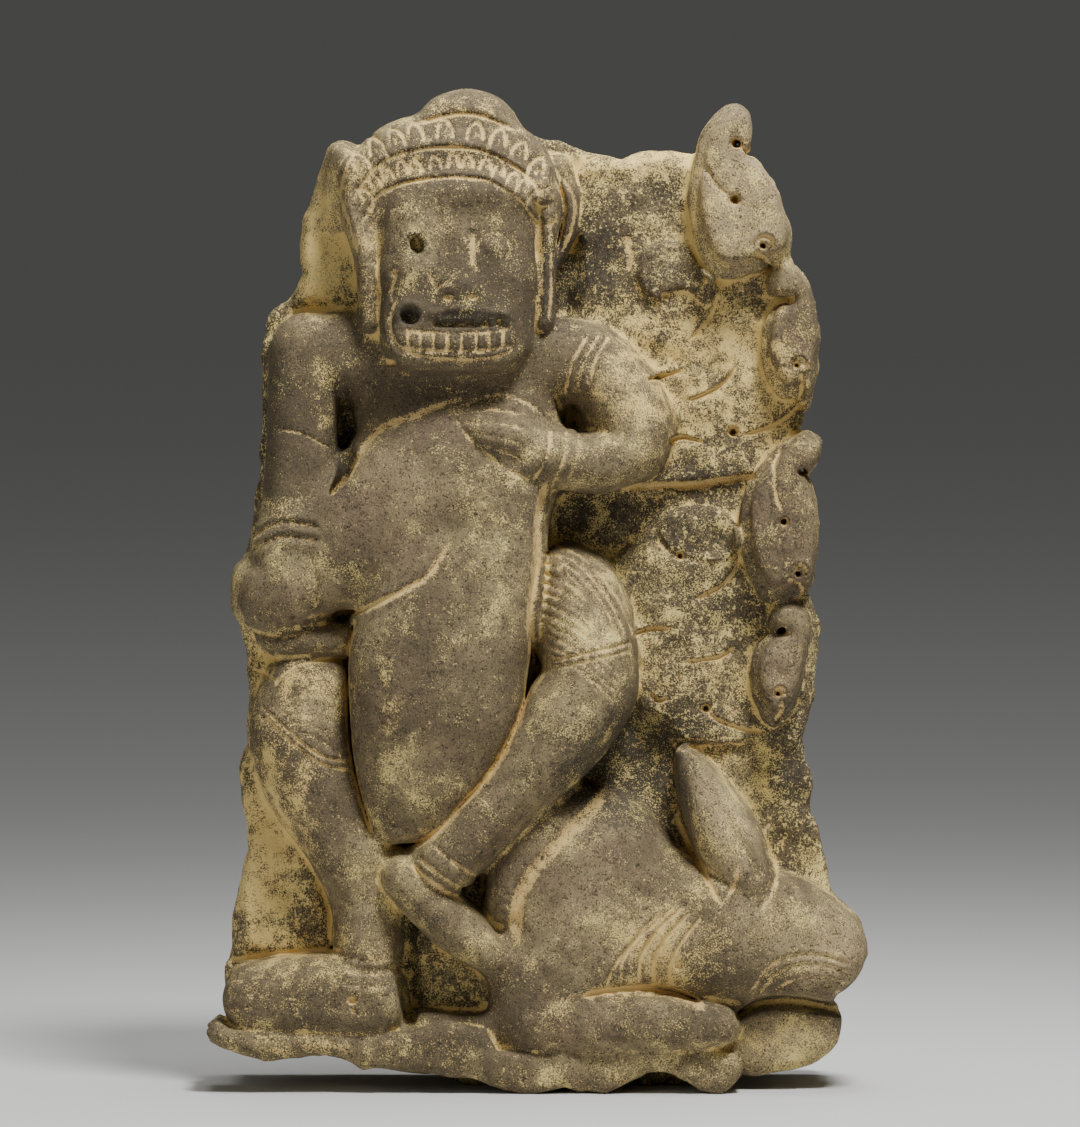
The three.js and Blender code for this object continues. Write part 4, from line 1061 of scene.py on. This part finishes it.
# What lies on the rock, one over the other, with painted shade in the soot layer: its colour, the masks that
# carry it and how much each adds, the size of its patches and specks in metres, the softness of their edge,
# its strength.
stoneLayers = {
    "rose": dict(color="rose", on={"rose": 0.8}, patch=0.020, speck=0.0030, soft=0.40, strength=0.55),
    "pale": dict(color="pale", on={"bright": 0.85}, patch=0.014, speck=0.0010, soft=0.30, strength=0.60),
    "brown": dict(color="deep", on={"dark": 0.9}, patch=0.016, speck=0.0020, soft=0.35, strength=0.55),
    # soot patches, and painted shade laid over sheltered hollows from the shelter mask
    "sootAndShade": dict(color="sootAndShade", on={"sootAndShade": 1.05, "sheltered": 0.35}, patch=0.018, speck=0.0022, soft=0.25,
                 strength=0.74),
    "flecks": dict(color="fleck", base=0.225,
                   on={"onGround": 0.08, "clouded": 0.9, "bright": 0.20, "standing": -0.13,
                       "coloured": -0.20},
                   patch=0.018, speck=0.0010, soft=0.10, strength=0.78),
    "clots": dict(color="fleck", on={"onGround": 0.30, "sootAndShade": -0.16}, patch=0.006, speck=0.0017, soft=0.08,
                  strength=0.80),
    "dust": dict(color="ochre", on={"ochre": 0.54, "hollow": 0.29, "cut": 0.30, "raisedGround": -0.42,
                                    "onGround": 0.10, "sootAndShade": -0.42},
                 patch=0.012, speck=0.0010, soft=0.12, strength=0.86),
    "filling": dict(color="honey", on={"line": 0.78, "rose": -0.40}, patch=0.008, speck=0.0010, soft=0.12,
                    strength=0.80),
}


class Wires:  # short hand for the nodes of one tree
    def __init__(self, tree):
        self.tree = tree

    def node(self, kind, values=None, **settings):
        made = self.tree.nodes.new("ShaderNode" + kind)
        for key, value in settings.items():
            setattr(made, key, value)
        for key, value in (values or {}).items():
            self.feed(made.inputs[key], value)
        return made

    def feed(self, socket, value):
        if isinstance(value, bpy.types.NodeSocket):
            self.tree.links.new(value, socket)
        else:
            socket.default_value = value

    def math(self, operation, a, b):
        made = self.node("Math", operation=operation)
        for socket, value in zip(made.inputs, (a, b)):
            self.feed(socket, value)
        return made.outputs[0]

    def add(self, a, b):
        return self.math("ADD", a, b)

    def less(self, a, b):
        return self.math("SUBTRACT", a, b)

    def times(self, a, b):
        return self.math("MULTIPLY", a, b)

    def over(self, a, b):
        return self.math("DIVIDE", a, b)

    def most(self, a, b):
        return self.math("MAXIMUM", a, b)

    def weigh(self, masks, shares, base=None):  # base and each mask times its share
        total = base
        for name, share in shares.items():
            part = self.times(masks[name], share)
            total = part if total is None else self.add(total, part)
        return total

    def ramp(self, value, low, high, toLow=0.0, toHigh=1.0):
        return self.node("MapRange", {"Value": value, "From Min": low, "From Max": high, "To Min": toLow,
                                      "To Max": toHigh}, interpolation_type="SMOOTHSTEP").outputs["Result"]

    def mix(self, share, a, b):
        made = self.node("Mix", data_type="RGBA", clamp_factor=True)
        for socket, value in zip([made.inputs[0], made.inputs[6], made.inputs[7]], (share, a, b)):
            self.feed(socket, value)
        return made.outputs[2]

    def noise(self, place, scale, detail, rough=0.5):
        return self.node("TexNoise", {"Vector": place, "Scale": scale, "Detail": detail,
                                      "Roughness": rough}).outputs["Fac"]

    def mark(self, name):
        return self.node("Attribute", attribute_name=name).outputs["Fac"]


def nodeGroup(name, inputs, outputs):
    group = bpy.data.node_groups.new(name, "ShaderNodeTree")
    for label, kind, value in inputs:
        socket = group.interface.new_socket(label, in_out="INPUT", socket_type="NodeSocket" + kind)
        if value is not None:
            socket.default_value = value
    for label, kind in outputs:
        group.interface.new_socket(label, in_out="OUTPUT", socket_type="NodeSocket" + kind)
    given, out = group.nodes.new("NodeGroupInput").outputs, group.nodes.new("NodeGroupOutput").inputs
    return group, Wires(group), given, out


# Fine broken grains of the rock: how dark each is, how high it stands, and the open pores.
def grainGroup():
    group, w, given, out = nodeGroup(
        "volcanicGrain", [("Place", "Vector", None), ("Size", "Float", 0.0012)],
        [("Speckle", "Float"), ("Height", "Float"), ("Pores", "Float")])
    scale = w.over(1.0, given["Size"])
    fine = w.noise(given["Place"], scale, 2.0, 0.6)
    coarse = w.noise(given["Place"], w.times(scale, 0.3), 3.0, 0.6)
    pits = w.noise(given["Place"], w.times(scale, 0.16), 2.0)
    w.feed(out["Speckle"], w.add(w.times(fine, 0.7), w.times(coarse, 0.3)))
    pores = w.times(w.ramp(pits, 0.66, 0.74), w.ramp(fine, 0.60, 0.45))
    w.feed(out["Pores"], pores)
    w.feed(out["Height"], w.less(w.add(w.times(fine, 0.45), coarse), w.times(pores, 0.5)))
    return group


# A crust or stain that breaks up into specks where it thins out.
def stainGroup():
    group, w, given, out = nodeGroup(
        "brokenStain", [("Place", "Vector", None), ("Amount", "Float", 0.0), ("Patch size", "Float", 0.012),
                        ("Speck size", "Float", 0.0018), ("Softness", "Float", 0.12)], [("Mask", "Float")])
    patch = w.noise(given["Place"], w.over(1.0, given["Patch size"]), 4.0, 0.6)
    speck = w.noise(given["Place"], w.over(1.0, given["Speck size"]), 2.0, 0.7)
    patchSpread, speckSpread = 1.65, 1.9  # how far each moves the stain's edge
    uneven = w.add(w.times(w.less(patch, 0.5), patchSpread), w.times(w.less(speck, 0.5), speckSpread))
    level = w.add(given["Amount"], uneven)
    soft = given["Softness"]
    w.feed(out["Mask"], w.ramp(level, w.less(0.5, soft), w.add(0.5, soft)))
    return group


def paintStone(panel):
    f = stoneFinish
    material = bpy.data.materials.new("volcanicStone")
    material.use_nodes = True
    w = Wires(material.node_tree)
    shader = material.node_tree.nodes["Principled BSDF"]
    place = w.node("TexCoord").outputs["Object"]
    grain = w.node("Group", {"Place": place, "Size": f["grainSize"]}, node_tree=grainGroup()).outputs
    speckle = grain["Speckle"]
    stain = stainGroup()

    masks = {name: w.mark(name)
             for name in ("fine", "crevice", "shelter", "relief", "line", "raised", *stains)}
    cloud, mottle = w.noise(place, 1 / f["cloudSize"], 4.0), w.noise(place, 1 / f["mottleSize"], 3.0)
    crevice, relief, ridge = masks["crevice"], masks["relief"], w.ramp(masks["fine"], -0.05, -0.28)
    onGround = w.times(w.ramp(relief, 0.34, 0.08), w.ramp(relief, -0.40, -0.08))
    raisedGround = w.times(masks["raised"], onGround)
    # the shelter mask paints shade into sheltered places, laid on with the soot
    masks.update(
        cloud=cloud, mottle=mottle, clouded=w.less(cloud, 0.5), onGround=onGround, raisedGround=raisedGround,
        contrast=w.less(masks["bright"], masks["dark"]), coloured=w.most(masks["rose"], masks["dark"]),
        standing=w.most(ridge, raisedGround), cut=w.ramp(masks["fine"], 0.04, 0.22),
        hollow=w.ramp(crevice, 0.06, 0.5), sheltered=w.ramp(masks["shelter"], 0.0, 0.8))

    def lay(name, under):
        layer = stoneLayers[name]
        mask = w.node("Group", {"Place": place, "Amount": w.weigh(masks, layer["on"], layer.get("base")),
                                "Patch size": layer["patch"], "Speck size": layer["speck"],
                                "Softness": layer["soft"]}, node_tree=stain).outputs["Mask"]
        return w.mix(w.times(mask, layer["strength"]), under, f[layer["color"]])

    # the bare rock, paler where it is worn and plain on its ridges
    shade = w.weigh(masks, {"cloud": 0.6, "mottle": 0.4, "contrast": 0.24})
    color = w.mix(w.ramp(shade, 0.40, 0.66), f["body"], f["light"])
    color = w.mix(w.times(w.ramp(crevice, -0.12, -0.5), f["wornPale"]), color, f["light"])
    for mask in (ridge, raisedGround):
        color = w.mix(w.times(mask, f["ridgePlain"]), color, f["body"])
    for name in ("rose", "pale", "brown"):
        color = lay(name, color)
    # dark grains, then soot and painted shade in sheltered places, and over them pale flecks and ochre dust
    grained = w.add(w.times(onGround, 0.055), 0.43)
    darkGrains = w.ramp(speckle, w.add(grained, 0.05), w.less(grained, 0.03))
    color = w.mix(w.times(darkGrains, f["grainStrength"]), color, f["deep"])
    for name in ("sootAndShade", "flecks", "clots", "dust", "filling"):
        color = lay(name, color)
    # dark open pores, and painted shade deep in the crevices
    poresAndShade = w.most(w.times(grain["Pores"], f["poreStrength"]), w.ramp(crevice, 0.60, 0.78))
    color = w.mix(poresAndShade, color, f["deep"])
    w.feed(shader.inputs["Base Color"], color)
    rough, spread = f["roughness"], f["roughnessSpread"]
    w.feed(shader.inputs["Roughness"], w.ramp(speckle, 0.3, 0.7, rough + spread, rough - spread))
    shader.inputs["Specular IOR Level"].default_value = f["specular"]
    bump = w.node("Bump", {"Height": grain["Height"], "Strength": f["bumpStrength"],
                           "Distance": f["bumpDistance"]})
    w.feed(shader.inputs["Normal"], bump.outputs["Normal"])
    panel.data.materials.append(material)


# Floor, lights and camera

studio = {
    "floorColor": (0.60, 0.60, 0.595, 1), "farColor": (0.067, 0.067, 0.0645, 1),
    "paintedGlowColor": (0.225, 0.225, 0.222, 1), "paintedGlowAt": 4.5,  # a paler band of painted glow between them
    "fadeAt": 1.7, "fadePower": 2.0,  # metres out, where the floor is half lost in the painted glow of the backdrop
    "aim": (0.0018, 0.0, 0.3470), "distance": 5.20, "elevation": 2.0, "azimuth": 0.0,
    "lens": 251.0, "sensor": 36, "floorReach": 60,
    "lights": [  # name, place, size, watts
        ("key", (0.55, -1.05, 2.30), 0.65, 82.0),
        ("fill", (-1.5, -2.2, 1.0), 1.8, 9.0),
        ("top", (0.1, 0.25, 2.3), 1.4, 34.0),
    ],
}


def paintFloor(mesh):
    s = studio
    material = bpy.data.materials.new("paleFloor")
    material.use_nodes = True
    w = Wires(material.node_tree)
    shader = material.node_tree.nodes["Principled BSDF"]
    place = w.node("TexCoord").outputs["Object"]
    away = w.node("VectorMath", {0: place}, operation="LENGTH").outputs["Value"]
    # the floor darkens with distance and glows there instead: painted light, dark far off with a paler band,
    # standing in for the backdrop
    far = w.math("POWER", w.over(away, s["fadeAt"]), s["fadePower"])
    far = w.over(far, w.add(far, 1.0))
    w.feed(shader.inputs["Base Color"], w.mix(far, s["floorColor"], (0, 0, 0, 1)))
    paintedGlow = w.over(1.0, w.add(w.math("POWER", w.over(away, s["paintedGlowAt"]), 2.0), 1.0))
    backdrop = w.mix(paintedGlow, s["farColor"], s["paintedGlowColor"])
    w.feed(shader.inputs["Emission Color"], w.mix(far, (0, 0, 0, 1), backdrop))
    shader.inputs["Emission Strength"].default_value = 1.0
    shader.inputs["Roughness"].default_value = 0.9
    shader.inputs["Specular IOR Level"].default_value = 0.0
    mesh.materials.append(material)


def buildStudio():
    s = studio
    scene = bpy.context.scene
    mesh = bpy.data.meshes.new("floor")
    r = s["floorReach"]
    mesh.from_pydata([(-r, -r, 0), (r, -r, 0), (r, r, 0), (-r, r, 0)], [], [(0, 1, 2, 3)])
    floor = bpy.data.objects.new("floor", mesh)
    scene.collection.objects.link(floor)
    paintFloor(mesh)
    world = bpy.data.worlds.new("studio")
    world.use_nodes = True
    world.node_tree.nodes["Background"].inputs["Color"].default_value = s["farColor"]
    scene.world = world
    aim = np.array(s["aim"])
    for name, place, size, watts in s["lights"]:
        light = bpy.data.lights.new(name, "AREA")
        light.energy, light.size, light.shape = watts, size, "DISK"
        lamp = bpy.data.objects.new(name, light)
        scene.collection.objects.link(lamp)
        turnTo(lamp, place, aim)
    camera = bpy.data.cameras.new("camera")
    camera.lens = s["lens"]
    camera.sensor_width = s["sensor"]
    eye = bpy.data.objects.new("camera", camera)
    scene.collection.objects.link(eye)
    e, a = math.radians(s["elevation"]), math.radians(s["azimuth"])
    away = np.array([math.sin(a) * math.cos(e), -math.cos(a) * math.cos(e), math.sin(e)]) * s["distance"]
    turnTo(eye, aim + away, aim)
    scene.camera = eye


def turnTo(thing, place, aim):
    thing.location = place
    thing.rotation_euler = (Vector(aim) - Vector(place)).to_track_quat("-Z", "Y").to_euler()


# The whole panel

for carve in (carveBlock, carveLedge, carveHead, carveBody, carveLegs, carveBull, carveBorder,
              engraveHead, engraveBody, engraveLegs, engraveBull, engraveBorder, wearStone):
    carve()
    print(carve.__name__, "done")
panel = meshStone()
markStone(panel)
fitToBox(panel.data)
paintStone(panel)
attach(panel, "root")
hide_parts("relief_panel")
buildStudio()
